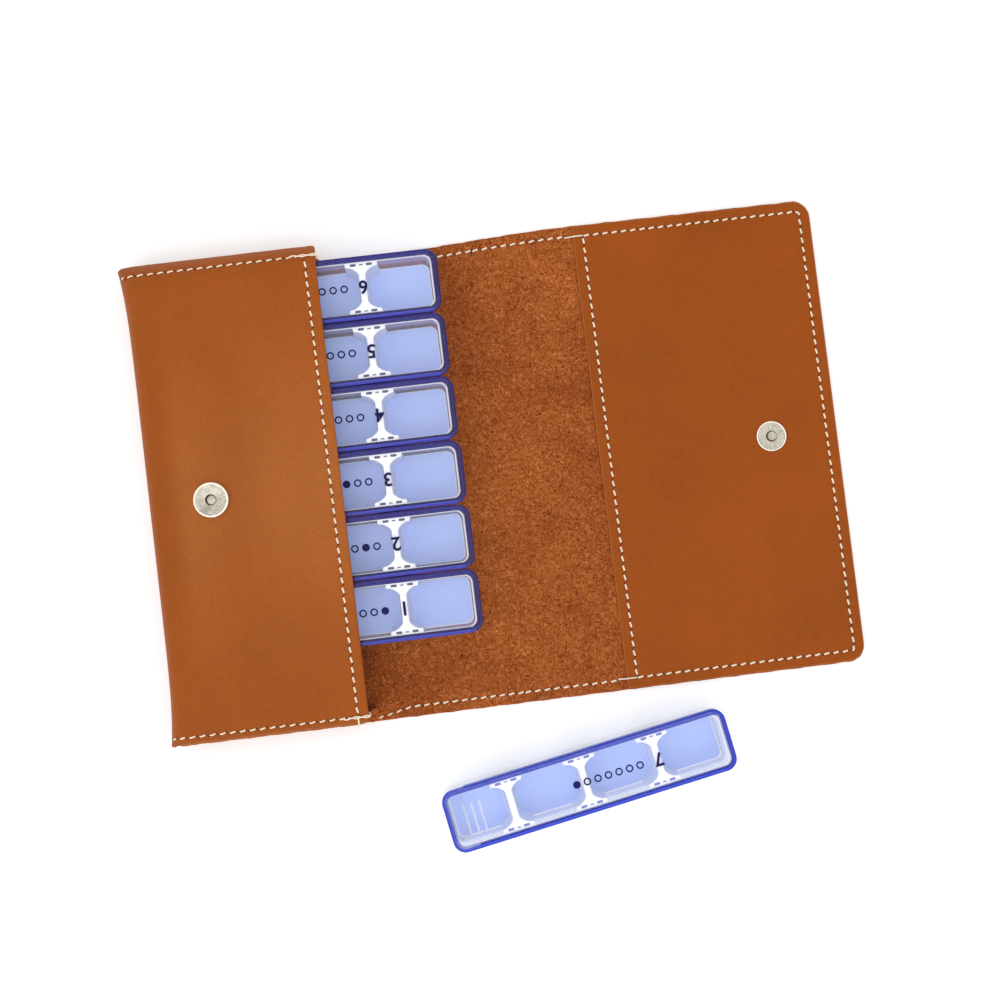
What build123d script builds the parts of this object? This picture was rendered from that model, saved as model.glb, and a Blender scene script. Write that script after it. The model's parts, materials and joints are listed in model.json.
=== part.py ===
from build123d import *
import math
import os

# A leather wallet for pill strips, lying open. A cover of one sheet of leather folds into a pocket on
# the left, a back, a spine and a flap. Six strips stand in the pocket, and the seventh lies in front.
# Millimetres, +Z up, +X from the pocket to the flap, +Y across the strips. The origin is in the middle
# of the back panel's underside.

# Cover leather
leather_thickness = 1.5
fold_radius = 7.0
fold_room = 9.4
flap_overhang = 1.0
flap_corner_radius = 7.0

# Pocket
pocket_depth = 79.0
pocket_headroom = 1.4
gusset_thickness = 1.2
gusset_flange = 4.7
gusset_fold_gap = 0.3
gusset_strip_gap = 0.5

# Flap facing
bare_length = 56.0
facing_thickness = 1.2
facing_inset = 0.5

# Seams, as ribbons of thread
seam_inset = 4.0
seam_width = 0.7
seam_height = 0.25
seam_crease_gap = 0.8

# Magnetic snap
socket_inset = 27.0
socket_diameter = 14.0
socket_height = 2.0
socket_shell = 0.4
socket_base_thickness = 0.5
socket_base_gap = 0.1
socket_hole_diameter = 4.8
magnet_bore = 5.4
magnet_side_gap = 0.6
stud_diameter = 12.5
stud_plate_thickness = 1.0
post_diameter = 3.8
rivet_diameter = 2.2
rivet_gap = 0.05
post_tip_gap = 0.2
snap_closed_gap = 0.3
washer_diameter = 13.0
washer_thickness = 0.5
washer_hole_diameter = 5.0
prong_spread = 3.4
prong_width = 3.0
prong_thickness = 0.5
prong_foot_length = 1.8
prong_gap = 0.15
recess_gap = 0.15

# Strips
strip_count = 7
strip_pitch = 25.8
strip_length = 118.0
strip_height = 18.0
strip_end_gap = 0.6
strip_stagger = 0.25
strip_seat_gap = 0.2
strip_exit = 5.0
facing_pass_gap = 0.3
loose_centre_x = 98.0
loose_centre_y = -128.5
loose_angle = 10.0

# Tray of a strip
tray_width = 22.6
tray_corner = 4.2
tray_wall = 1.1
tray_floor = 1.2
tray_foot_radius = 1.0
rim_overhang = 0.7
rim_thickness = 1.4
divider_shares = (0.742, 0.484, 0.226)
divider_thickness = 2.6
flare_depth = 1.2
flare_reach = 5.0
bay_corner = 3.0
ramp_length = 6.0
ramp_drop = 1.5

# Lid of a strip
lid_width = 25.4
lid_corner = 5.0
lid_plate = 1.2
lid_gap = 0.2
lid_end_wall = 0.9
lid_fit = 0.15
lid_lip = 0.8
rail_setback = 10.0
ridge_count = 3
ridge_pitch = 3.2
ridge_offset = 8.0
ridge_length = 12.0
ridge_width = 0.9
ridge_height = 0.3

# One overrun for every cut
overrun = 10.0

# Places along the cover, from the left fold to the flap's end
back_length = fold_room + strip_length + strip_end_gap
flap_length = back_length + flap_overhang
fold_x = -back_length / 2
crease_x = back_length / 2
mouth_x = fold_x + pocket_depth
strip_right = crease_x - strip_end_gap
strip_left = strip_right - strip_length
socket_x = fold_x + socket_inset
facing_left = strip_right + bare_length

# The pocket front rises towards the mouth, so that a strip drawn out along it clears the facing
slide_rise = facing_thickness + seam_height + facing_pass_gap - strip_seat_gap
slide_slope = slide_rise / bare_length
slide_angle = math.degrees(math.atan(slide_slope))
front_drop = leather_thickness * math.hypot(slide_slope, 1)
strip_base = leather_thickness + strip_seat_gap
front_start = strip_base + strip_height + pocket_headroom


def front_inside(x):
    """Height of the pocket front's inner face at x."""
    return front_start + (x - strip_left) * slide_slope


def front_outside(x):
    """Height of the pocket front's outer face at x."""
    return front_inside(x) + front_drop


# The spine is as tall as what the closed wallet holds at the snap
socket_z = front_outside(socket_x)
spine_length = (
    socket_z - leather_thickness + socket_height + snap_closed_gap + stud_plate_thickness + facing_thickness
)
second_crease_x = crease_x + spine_length
flap_end = second_crease_x + flap_length
stud_x = crease_x + second_crease_x - socket_x
facing_top = leather_thickness + facing_thickness
post_length = snap_closed_gap + socket_height - socket_base_thickness - post_tip_gap

# Derived sizes of the strip
tray_length = strip_length - lid_end_wall - lid_fit
tray_height = strip_height - lid_plate - lid_gap
rim_width = tray_width + 2 * rim_overhang
rim_corner = tray_corner + rim_overhang
bay_width = tray_width - 2 * tray_wall
rim_bottom = tray_height - rim_thickness
rail_bottom = rim_bottom - lid_gap - lid_lip

# The cover is as wide as its strips, the gussets beside them and the gussets' sewn flanges
gusset_inside = (strip_count - 1) / 2 * strip_pitch + lid_width / 2 + gusset_strip_gap
gusset_outside = gusset_inside + gusset_thickness
half_width = gusset_outside + gusset_flange

socket_place = Location((socket_x, 0, socket_z), (0, -slide_angle, 0))
stud_place = Location((stud_x, 0, facing_top))
loose_place = Location((loose_centre_x, loose_centre_y, 0), (0, 0, loose_angle))


def slab(x_low, x_high, y_low, y_high, z_low, z_high):
    """A box between two corners."""
    middle = ((x_low + x_high) / 2, (y_low + y_high) / 2, (z_low + z_high) / 2)
    return Pos(*middle) * Box(x_high - x_low, y_high - y_low, z_high - z_low)


def disc(diameter, z_low, z_high):
    """A disc about the Z axis between two heights."""
    return Pos(0, 0, (z_low + z_high) / 2) * Cylinder(diameter / 2, z_high - z_low)


def side_prism(face, y_low, y_high):
    """Extrude a face drawn in X and Z from y_low to y_high."""
    return Pos(0, y_low, 0) * extrude(face, y_high - y_low, dir=(0, 1, 0))


def profile(*lines):
    """A face in X and Z closed by the given lines."""
    return make_face(Curve() + list(lines))


# Prongs of both snap halves

def prong_pair(depth):
    """Two prongs down through a layer of leather and its washer, with their feet bent outwards."""
    foot_top = -depth - washer_thickness
    foot_bottom = foot_top - prong_thickness
    pair = Part()
    for side in (-1, 1):
        leg_inner = side * prong_spread
        leg_outer = leg_inner + side * prong_thickness
        foot_outer = leg_outer + side * prong_foot_length
        half = prong_width / 2
        pair += slab(*sorted((leg_inner, leg_outer)), -half, half, foot_bottom, 0)
        pair += slab(*sorted((leg_inner, foot_outer)), -half, half, foot_bottom, foot_top)
    return pair


def prong_slots(depth):
    """Cutters for the prongs' way through a layer of leather and its washer."""
    cutters = Part()
    for side in (-1, 1):
        inner = side * (prong_spread - prong_gap)
        outer = side * (prong_spread + prong_thickness + prong_gap)
        half = prong_width / 2 + prong_gap
        cutters += slab(*sorted((inner, outer)), -half, half, -depth - overrun, overrun)
    return cutters


def washer(depth):
    """Backing washer behind a layer of leather."""
    plate = disc(washer_diameter, -depth - washer_thickness, -depth)
    plate -= disc(washer_hole_diameter, -depth - overrun, overrun)
    return plate - prong_slots(depth)


# Cover leather: back, fold and pocket front as one bent sheet

def make_cover_pocket():
    corner_z = front_outside(fold_x)
    inner_x = fold_x + leather_thickness
    inner_radius = fold_radius - leather_thickness
    outer_line = FilletPolyline(
        (crease_x, 0, 0), (fold_x, 0, 0), (fold_x, 0, corner_z), (mouth_x, 0, front_outside(mouth_x)),
        radius=fold_radius,
    )
    inner_line = FilletPolyline(
        (mouth_x, 0, front_inside(mouth_x)), (inner_x, 0, front_inside(inner_x)),
        (inner_x, 0, leather_thickness), (crease_x, 0, leather_thickness),
        radius=inner_radius,
    )
    mouth_line = Line(outer_line @ 1, inner_line @ 0)
    crease_line = Line(inner_line @ 1, outer_line @ 0)
    sheet = side_prism(profile(outer_line, mouth_line, inner_line, crease_line), -half_width, half_width)
    return sheet - socket_place * prong_slots(leather_thickness)


def make_gusset(side):
    """Side wall of the pocket with its two sewn flanges, at y > 0 or y < 0."""
    start_x = fold_x + leather_thickness + gusset_fold_gap
    flange_x = fold_x + fold_radius
    inner_radius = fold_radius - leather_thickness
    wall_line = FilletPolyline(
        (mouth_x, 0, front_inside(mouth_x)), (start_x, 0, front_inside(start_x)),
        (start_x, 0, leather_thickness), (mouth_x, 0, leather_thickness),
        radius=inner_radius,
    )
    wall = profile(wall_line, Line(wall_line @ 1, wall_line @ 0))
    top_flange = profile(Polyline(
        (flange_x, 0, front_inside(flange_x)), (mouth_x, 0, front_inside(mouth_x)),
        (mouth_x, 0, front_inside(mouth_x) - gusset_thickness),
        (flange_x, 0, front_inside(flange_x) - gusset_thickness),
        close=True,
    ))
    gusset = side_prism(wall, gusset_inside, gusset_outside)
    gusset += side_prism(top_flange, gusset_outside, half_width)
    gusset += slab(
        flange_x, mouth_x, gusset_outside, half_width, leather_thickness, leather_thickness + gusset_thickness
    )
    if side < 0:
        gusset = mirror(gusset, about=Plane.XZ)
    return gusset


# Spine and flap, which hinge on the leather's upper face

def make_spine():
    return slab(crease_x, second_crease_x, -half_width, half_width, 0, leather_thickness)


def rounded_end(x_low, x_high, half, corner, z_low, z_high):
    """A plate between two heights whose two corners at x_high are round."""
    plate = slab(x_low, x_high, -half, half, z_low, z_high)
    end_edges = plate.edges().filter_by(Axis.Z).group_by(Axis.X)[-1]
    return fillet(end_edges, corner)


def make_flap():
    panel = rounded_end(second_crease_x, flap_end, half_width, flap_corner_radius, 0, leather_thickness)
    recess_depth = washer_thickness + prong_thickness + recess_gap
    recess = disc(washer_diameter + 2 * recess_gap, leather_thickness - recess_depth, facing_top)
    return panel - Pos(stud_x, 0, 0) * recess


def make_facing():
    facing = rounded_end(
        facing_left, flap_end - facing_inset, half_width - facing_inset, flap_corner_radius - facing_inset,
        leather_thickness, facing_top,
    )
    return facing - stud_place * prong_slots(facing_thickness)


# Seams: flat ribbons of thread lying on the leather

def seam_ribbon(x_low, x_high, y_low, y_high, z):
    """A ribbon along X or Y, grown to the seam's width about its line."""
    grow = seam_width / 2
    if x_low == x_high:
        return slab(x_low - grow, x_high + grow, y_low - grow, y_high + grow, z, z + seam_height)
    return slab(x_low, x_high, y_low - grow, y_high + grow, z, z + seam_height)


def edge_seams(x_low, x_high, z):
    """Ribbons along both long edges of the cover."""
    line = half_width - seam_inset
    return [seam_ribbon(x_low, x_high, side * line, side * line, z) for side in (-1, 1)]


def make_pocket_thread():
    mouth_place = Location((mouth_x, 0, front_outside(mouth_x)), (0, -slide_angle, 0))
    line = half_width - seam_inset
    run = (pocket_depth - fold_radius) * math.hypot(slide_slope, 1)
    loop = seam_ribbon(-seam_inset, -seam_inset, -line, line, 0)
    for ribbon in edge_seams(-run, -seam_inset, 0):
        loop += ribbon
    return mouth_place * loop


def make_back_thread():
    return Compound(edge_seams(mouth_x, crease_x - seam_crease_gap, leather_thickness))


def make_spine_thread():
    start = crease_x + seam_crease_gap
    return Compound(edge_seams(start, second_crease_x - seam_crease_gap, leather_thickness))


def make_flap_thread():
    line = half_width - seam_inset
    left = facing_left + seam_inset
    right = flap_end - seam_inset
    loop = seam_ribbon(left, left, -line, line, facing_top)
    loop += seam_ribbon(right, right, -line, line, facing_top)
    for ribbon in edge_seams(left, right, facing_top):
        loop += ribbon
    bare_seams = edge_seams(second_crease_x + seam_crease_gap, facing_left, leather_thickness)
    return Compound(bare_seams + [loop])


# Socket half of the snap, on the pocket front

def make_socket_case():
    case = disc(socket_diameter, 0, socket_height)
    case -= disc(socket_diameter - 2 * socket_shell, -overrun, socket_height - socket_shell)
    return socket_place * (case - disc(socket_hole_diameter, 0, socket_height + overrun))


def make_socket_base():
    plate_diameter = socket_diameter - 2 * (socket_shell + socket_base_gap)
    base = disc(plate_diameter, 0, socket_base_thickness) + prong_pair(leather_thickness)
    return socket_place * base


def make_socket_magnet():
    magnet_diameter = socket_diameter - 2 * (socket_shell + magnet_side_gap)
    ring = disc(magnet_diameter, socket_base_thickness, socket_height - socket_shell)
    return socket_place * (ring - disc(magnet_bore, 0, socket_height))


def make_socket_washer():
    return socket_place * washer(leather_thickness)


# Stud half of the snap, on the facing

def make_stud_plate():
    plate = disc(stud_diameter, 0, stud_plate_thickness) + prong_pair(facing_thickness)
    return stud_place * (plate - disc(rivet_diameter + 2 * rivet_gap, 0, overrun))


def make_stud_post():
    head = disc(post_diameter, stud_plate_thickness, stud_plate_thickness + post_length)
    return stud_place * (head + disc(rivet_diameter, 0, stud_plate_thickness))


def make_stud_washer():
    return stud_place * washer(facing_thickness)


# A day strip, about its own middle, with its underside at zero

def rounded_plate(x_low, x_high, width, corner, z_low, z_high):
    """A plate with four round corners between two heights."""
    outline = Pos((x_low + x_high) / 2, 0, z_low) * RectangleRounded(x_high - x_low, width, corner)
    return extrude(outline, z_high - z_low)


tray_left = -strip_length / 2
tray_right = tray_left + tray_length
body_left = tray_left + rim_overhang
body_right = tray_right - rim_overhang
divider_places = [tray_left + share * strip_length for share in divider_shares]


def bay_cutter(x_low, x_high, low_flare, high_flare):
    """The hollow of one compartment, narrowed by the flares of the dividers beside it."""
    top = tray_height + overrun
    narrow = rounded_plate(x_low, x_high, bay_width - 2 * flare_depth, bay_corner, tray_floor, top)
    wide = rounded_plate(x_low + low_flare, x_high - high_flare, bay_width, bay_corner, tray_floor, top)
    return narrow + wide


def make_tray():
    body = rounded_plate(body_left, body_right, tray_width, tray_corner, 0, tray_height)
    body = fillet(body.faces().sort_by(Axis.Z)[0].edges(), tray_foot_radius)
    tray = body + rounded_plate(tray_left, tray_right, rim_width, rim_corner, rim_bottom, tray_height)
    bay_ends = [body_right - tray_wall]
    for place in divider_places:
        bay_ends += [place + divider_thickness / 2, place - divider_thickness / 2]
    bay_ends.append(body_left + tray_wall)
    bay_count = len(divider_places) + 1
    for index in range(bay_count):
        high, low = bay_ends[2 * index:2 * index + 2]
        low_flare = flare_reach if index < bay_count - 1 else 0
        high_flare = flare_reach if index > 0 else 0
        tray -= bay_cutter(low, high, low_flare, high_flare)
    ramp_x = body_left + tray_wall
    ramp = side_prism(profile(Polyline(
        (ramp_x, 0, tray_floor), (ramp_x + ramp_length, 0, tray_floor), (ramp_x, 0, rim_bottom - ramp_drop),
        close=True,
    )), -bay_width / 2, bay_width / 2)
    return tray + (ramp & body)


def make_lid():
    lid = rounded_plate(tray_left, strip_length / 2, lid_width, lid_corner, rail_bottom, strip_height)
    lid -= rounded_plate(
        tray_left - overrun, tray_right + lid_fit, rim_width + 2 * lid_fit, rim_corner + lid_fit,
        rim_bottom - lid_gap, tray_height + lid_gap,
    )
    lid -= rounded_plate(
        tray_left - overrun, body_right + lid_fit, tray_width + 2 * lid_fit, tray_corner + lid_fit,
        rail_bottom - overrun, tray_height,
    )
    lid -= slab(
        tray_left - overrun, tray_left + rail_setback, -lid_width, lid_width,
        rail_bottom - overrun, tray_height + lid_gap,
    )
    for index in range(ridge_count):
        ridge_x = tray_left + ridge_offset + index * ridge_pitch
        lid += slab(
            ridge_x - ridge_width / 2, ridge_x + ridge_width / 2, -ridge_length / 2, ridge_length / 2,
            strip_height, strip_height + ridge_height,
        )
    return lid


def strip_place(day):
    """Days from the slot beside the empty one upwards, each a little deeper in the pocket than the
    day below it. The last day's strip lies in front."""
    if day == strip_count:
        return loose_place
    row = day - (strip_count - 1) / 2
    middle = strip_left + strip_length / 2 - (day - 1) * strip_stagger
    return Location((middle, row * strip_pitch, strip_base))


nodes = {
    "cover_pocket": make_cover_pocket(),
    "gusset_upper": make_gusset(1),
    "gusset_lower": make_gusset(-1),
    "spine_panel": make_spine(),
    "flap_panel": make_flap(),
    "flap_facing": make_facing(),
    "pocket_thread": make_pocket_thread(),
    "back_thread": make_back_thread(),
    "spine_thread": make_spine_thread(),
    "flap_thread": make_flap_thread(),
    "snap_socket_case": make_socket_case(),
    "snap_socket_base": make_socket_base(),
    "snap_socket_magnet": make_socket_magnet(),
    "snap_socket_washer": make_socket_washer(),
    "snap_stud_plate": make_stud_plate(),
    "snap_stud_post": make_stud_post(),
    "snap_stud_washer": make_stud_washer(),
}
tray = make_tray()
lid = make_lid()
for day in range(1, strip_count + 1):
    nodes[f"day_{day}_tray"] = strip_place(day) * tray
    nodes[f"day_{day}_lid"] = strip_place(day) * lid

os.makedirs("parts", exist_ok=True)
for name, shape in nodes.items():
    export_step(shape, f"parts/{name}.step")

slide_travel = mouth_x - strip_left + strip_exit
print("creases at", crease_x, second_crease_x, "height", leather_thickness)
print("strip slide angle", slide_angle, "travel", slide_travel, "base", strip_base)
print("strip middle", strip_left + strip_length / 2, "dividers", divider_places)
print("snap socket", socket_x, socket_z, "stud", stud_x, "flap end", flap_end)
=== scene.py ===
"""Pill organizer: seven clear day strips, six of them kept in a stitched leather wallet.

The packed frame gives the sizes and places, in metres. Each piece is a surface worked out with numpy
on a grid, or a profile carried along a path, and each finish is a node material.
"""

import json
import math

import bpy
import numpy as np
from mathutils import Matrix, Vector


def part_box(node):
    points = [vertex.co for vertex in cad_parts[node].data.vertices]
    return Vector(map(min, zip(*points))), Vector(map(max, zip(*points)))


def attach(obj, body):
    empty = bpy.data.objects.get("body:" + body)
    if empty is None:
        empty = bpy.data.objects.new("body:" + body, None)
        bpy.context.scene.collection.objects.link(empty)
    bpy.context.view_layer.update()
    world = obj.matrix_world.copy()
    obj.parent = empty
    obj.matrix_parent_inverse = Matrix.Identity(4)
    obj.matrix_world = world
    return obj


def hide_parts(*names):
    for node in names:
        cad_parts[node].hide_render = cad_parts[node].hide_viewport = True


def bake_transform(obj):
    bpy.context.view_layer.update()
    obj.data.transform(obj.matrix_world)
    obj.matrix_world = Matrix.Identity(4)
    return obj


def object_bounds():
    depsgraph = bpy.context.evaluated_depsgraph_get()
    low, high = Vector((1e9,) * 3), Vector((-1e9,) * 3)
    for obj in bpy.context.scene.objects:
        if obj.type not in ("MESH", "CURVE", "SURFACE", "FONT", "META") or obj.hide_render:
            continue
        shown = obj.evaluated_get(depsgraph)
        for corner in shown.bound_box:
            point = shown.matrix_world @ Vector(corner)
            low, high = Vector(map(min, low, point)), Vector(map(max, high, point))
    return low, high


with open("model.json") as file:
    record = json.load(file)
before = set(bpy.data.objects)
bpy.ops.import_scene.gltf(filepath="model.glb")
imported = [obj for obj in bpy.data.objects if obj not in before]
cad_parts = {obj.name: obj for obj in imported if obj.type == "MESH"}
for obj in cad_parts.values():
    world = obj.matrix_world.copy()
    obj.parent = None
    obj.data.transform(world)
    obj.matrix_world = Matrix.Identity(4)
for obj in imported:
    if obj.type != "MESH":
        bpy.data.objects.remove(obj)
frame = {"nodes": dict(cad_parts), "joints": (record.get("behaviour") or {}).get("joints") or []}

bl_info = {
    "name": "Pill Organizer",
    "version": (1, 0, 0),
    "blender": (4, 5, 0),
    "location": "View3D > Sidebar > Organizer",
    "description": "Dresses a leather pill organizer with seven day strips around its packed frame",
    "category": "Object",
}

# Places and sizes read from the frame

CAD_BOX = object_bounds()
JOINTS = {joint["name"]: joint for joint in frame["joints"]}


def corners(node):
    """The lowest and highest corner of a node, as arrays."""
    low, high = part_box(node)
    return np.array(low), np.array(high)


POCKET_LOW, POCKET_HIGH = corners("cover_pocket")
SPINE_LOW, SPINE_HIGH = corners("spine_panel")
FLAP_LOW, FLAP_HIGH = corners("flap_panel")
FACING_LOW, FACING_HIGH = corners("flap_facing")
GUSSET_LOW, GUSSET_HIGH = corners("gusset_upper")
LID_LOW, LID_HIGH = corners("day_1_lid")
TRAY_LOW, TRAY_HIGH = corners("day_1_tray")
SOCKET_LOW, SOCKET_HIGH = corners("snap_socket_case")
STUD_LOW, STUD_HIGH = corners("snap_stud_plate")
POST_LOW, POST_HIGH = corners("snap_stud_post")

LEATHER = SPINE_HIGH[2] - SPINE_LOW[2]
HALF_WIDTH = FLAP_HIGH[1]
FOLD_X = POCKET_LOW[0]
MOUTH_X = GUSSET_HIGH[0]
CREASE_X = JOINTS["spine_fold"]["pos_m"][0]
SECOND_CREASE_X = JOINTS["flap_fold"]["pos_m"][0]
MID_SPINE_X = (CREASE_X + SECOND_CREASE_X) / 2
FLAP_END = FLAP_HIGH[0]
SLIDE_AXIS = JOINTS["strip_1_slide"]["axis"]
FRONT_SLOPE = math.atan2(SLIDE_AXIS[2], SLIDE_AXIS[0])

STRIP_BASE = TRAY_LOW[2]
LID_LENGTH, LID_WIDTH = (LID_HIGH - LID_LOW)[:2]
TRAY_LENGTH, TRAY_WIDTH, TRAY_HEIGHT = TRAY_HIGH - TRAY_LOW
TRAY_SHIFT = (TRAY_HIGH[0] + TRAY_LOW[0] - LID_HIGH[0] - LID_LOW[0]) / 2
SKIRT_Z = LID_LOW[2] - STRIP_BASE

DAYS = range(1, 8)
SHARP_ANGLE = math.radians(38)


# What a user would change


def length(name, description, default):
    """A size in metres."""
    return bpy.props.FloatProperty(
        name=name, description=description, default=default, min=0.0,
        subtype="DISTANCE", unit="LENGTH", precision=5,
    )


def share(name, description, default):
    """A part of a whole, from 0 to 1."""
    return bpy.props.FloatProperty(
        name=name, description=description, default=default, min=0.0, max=1.0, subtype="FACTOR",
    )


def turn(name, description, degrees):
    """An angle, given in degrees."""
    return bpy.props.FloatProperty(
        name=name, description=description, default=math.radians(degrees), subtype="ANGLE",
    )


def place(name, description, default):
    """A point in metres."""
    return bpy.props.FloatVectorProperty(
        name=name, description=description, default=default, size=3, subtype="XYZ", unit="LENGTH",
    )


def colour(name, description, red, green, blue):
    """A display colour, given in steps of 255."""
    return bpy.props.FloatVectorProperty(
        name=name, description=description, default=(red / 255, green / 255, blue / 255),
        size=3, min=0.0, max=1.0, subtype="COLOR_GAMMA",
    )


class WalletSizes(bpy.types.PropertyGroup):
    """Sizes of the leather cover, its pocket and its gussets."""

    fold_radius: length("Fold radius", "Outer radius of the pocket's fold", 0.009)
    edge_drop: length("Edge drop", "How far the pocket's sewn edges hang below its front", 0.0075)
    drop_reach: length("Drop reach", "Width of the hanging strip along each edge", 0.0105)
    mouth_corner: length("Mouth corner", "Radius of the pocket's corners at its mouth", 0.0022)
    flap_corner: length("Flap corner", "Radius of the flap's outer corners", 0.007)
    top_pull: length("Edge pull", "How far the far edge is drawn in beside the pocket", 0.0035)
    mouth_pull: length("Mouth pull", "How far the pocket's mouth is drawn back", 0.0007)
    front_trim: length("Front trim", "How far the front's near edge stops short", 0.0027)
    front_spread: length("Front spread", "How far the front's far edge stands out", 0.0004)
    seam_trim: length("Seam trim", "How far the front's near seam is moved in", 0.0012)
    far_seam_trim: length("Far seam trim", "How far the front's far seam is moved in", 0.0008)
    fold_pinch: length("Fold pinch", "How far the fold draws the edges in", 0.0008)
    fold_flare: length("Fold flare", "How far the fold's ends stand out beyond its middle", 0.003)
    edge_waver: length("Edge waver", "Unevenness of the cut edges", 0.0002)
    # The next six sizes place a painted sheen on the pocket's front: a paler patch that stands in for the shine
    # of the light, with a band of less sheen beside the snap.
    rub_reach: length("Rub reach", "Half width of the paler, handled patch", 0.033)
    rub_start: length("Rub start", "Distance from the fold at which the patch begins", 0.008)
    rub_full: length("Rub full", "Distance from the fold at which it is at its full", 0.019)
    band_offset: length("Band offset", "Distance of a darker band in it from the snap", 0.009)
    band_reach: length("Band reach", "Half width of the darker band", 0.008)
    band_shade: share("Band shade", "How much of the paling the band keeps off", 0.45)
    edge_round: length("Edge round", "Rounding of the cut edges", 0.0004)
    bend_reach: length("Bend reach", "Half the width of the bend at a crease", 0.005)
    gusset_depth: length("Gusset depth", "How far the gussets fold in from the edge", 0.0055)
    gusset_proud: length("Gusset proud", "How far the near gusset stands out past the front", 0.0009)
    gusset_tail: length("Gusset tail", "How far the gussets' lower legs run past the mouth", 0.0027)
    gusset_thickness: length("Gusset thickness", "Thickness of the gusset leather", 0.0012)


class SeamSizes(bpy.types.PropertyGroup):
    """Sizes of the hand-sewn seams."""

    inset: length("Inset", "Distance of the stitch line from the edge", 0.0042)
    pitch: length("Pitch", "Distance from one stitch to the next", 0.0039)
    stitch: length("Stitch", "Length of thread that shows", 0.0030)
    thread: length("Thread", "Width of the thread", 0.00076)
    proud: length("Proud", "Height of a stitch above the leather", 0.00012)
    slant: turn("Slant", "Lean of each stitch from the seam's line", 12.0)
    tack: length("Tack", "Length sewn twice at the mouth", 0.009)
    converge: share("Converge", "Share of the inset left where the inner seam starts", 0.3)
    groove_share: share("Groove", "Share of the thickness pressed in by the seam", 0.28)
    groove_width: length("Groove width", "Half width of the pressed line", 0.0009)


class StripSizes(bpy.types.PropertyGroup):
    """Sizes of the day strips."""

    lid_corner: length("Lid corner", "Radius of the lid's corners", 0.005)
    plate: length("Plate", "Thickness of the lid's plate", 0.0012)
    lid_gap: length("Lid gap", "Gap between the tray's rim and the lid", 0.0002)
    border: length("Border", "Width of the lid's coloured border", 0.0023)
    solid_band: length("Solid band", "Width of the solid band round the near rail and the ends", 0.0013)
    # The streaks in the border are painted highlight lines along the rails.
    streak: length("Streak", "Distance between the streaks in the border", 0.0009)
    # The far rail's deeper blue is painted shade, beside the near rail's painted light.
    far_depth: share("Far depth", "How deep the blue of the far rail is", 0.7)
    far_thin: share("Far thin", "Share of its see-through that the far rail shows", 0.55)
    # The paler blue of a strip out of the wallet is painted light from the white table.
    loose_depth: share("Loose depth", "Share of the deep blue that a strip out of the wallet shows", 0.2)
    wallet_thin: share("Wallet thin", "Share of its see-through that a strip in the wallet shows", 0.4)
    skirt: length("Skirt", "Thickness of the rails under the border", 0.00055)
    lip: length("Lip", "How far the rails hook under the rim", 0.0008)
    rail_setback: length("Rail setback", "Length at the open end without rails", 0.010)
    wall: length("Wall", "Thickness of the tray's walls", 0.0011)
    floor: length("Floor", "Thickness of the tray's floor", 0.0012)
    rim_overhang: length("Rim overhang", "How far the rim stands out", 0.0007)
    rim: length("Rim", "Height of the tray's rim", 0.0014)
    tray_corner: length("Tray corner", "Radius of the tray's corners", 0.0042)
    foot: length("Foot", "Rounding of the tray's lower edge", 0.001)
    draft: length("Draft", "How far the tray's walls lean in towards the floor", 0.0004)
    # The pale line round the rim is a painted highlight on the rim's inner edge, made as a thin white ridge.
    bead: length("Bead", "Width of the pale line round the rim", 0.00055)
    haze: share("Haze", "Share of the wall's height, from its top, that is hazy inside", 0.5)
    divider: length("Divider", "Thickness of the dividers", 0.0026)
    bay_corner: length("Bay corner", "Radius of the bays' corners", 0.003)
    flare_reach: length("Flare reach", "Half the length of a divider's bar along the wall", 0.0065)
    flare_depth: length("Flare depth", "Thickness of that bar at its tips", 0.0017)
    flare_round: length("Flare round", "Height of the hollow between a divider and its bar", 0.0032)
    side_spread: length("Side spread", "How far the dividers' sides lean out at the floor", 0.0008)
    slit_length: length("Slit length", "Length of a slit in the bar", 0.0024)
    slit_width: length("Slit width", "Width of a slit in the bar", 0.0010)
    dish: length("Dish", "Rounding between floor and walls", 0.0012)
    ramp: length("Ramp", "Length of the slope at the open end", 0.006)
    ramp_drop: length("Ramp drop", "How far the slope's top lies under the rim's underside", 0.0015)
    divider_shares: bpy.props.FloatVectorProperty(
        name="Dividers", description="Places of the dividers along the strip, as shares of its length",
        default=(0.742, 0.484, 0.226), size=3, min=0.0, max=1.0,
    )
    ridge_pitch: length("Ridge pitch", "Distance between the thumb ridges", 0.0032)
    ridge_offset: length("Ridge offset", "Distance of the first ridge from the end", 0.008)
    ridge_length: length("Ridge length", "Length of a thumb ridge", 0.012)
    ridge_width: length("Ridge width", "Width of a thumb ridge", 0.0009)
    ridge_height: length("Ridge height", "Height of a thumb ridge", 0.0003)
    numeral: length("Numeral", "Height of the day's numeral", 0.0056)
    dot: length("Dot", "Diameter of a day dot", 0.0031)
    dot_pitch: length("Dot pitch", "Distance between day dots", 0.0044)
    ink: length("Ink", "Thickness of the printed marks", 0.00004)


class SnapSizes(bpy.types.PropertyGroup):
    """Sizes of the magnetic snap."""

    bevel: length("Bevel", "Rounding of the socket's rim", 0.0006)
    recess: length("Recess", "Radius of the socket's hole", 0.0022)
    recess_depth: length("Recess depth", "Depth of the socket's hole", 0.00148)
    core: length("Core", "Radius of the magnet that shows in the hole", 0.0018)
    core_height: length("Core height", "Height of the magnet over the hole's bottom", 0.0001)
    stud_rim: length("Stud rim", "Width of the stud's raised rim", 0.0007)
    pin_ring: length("Pin ring", "Width of the groove round the stud's post", 0.0004)


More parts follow.
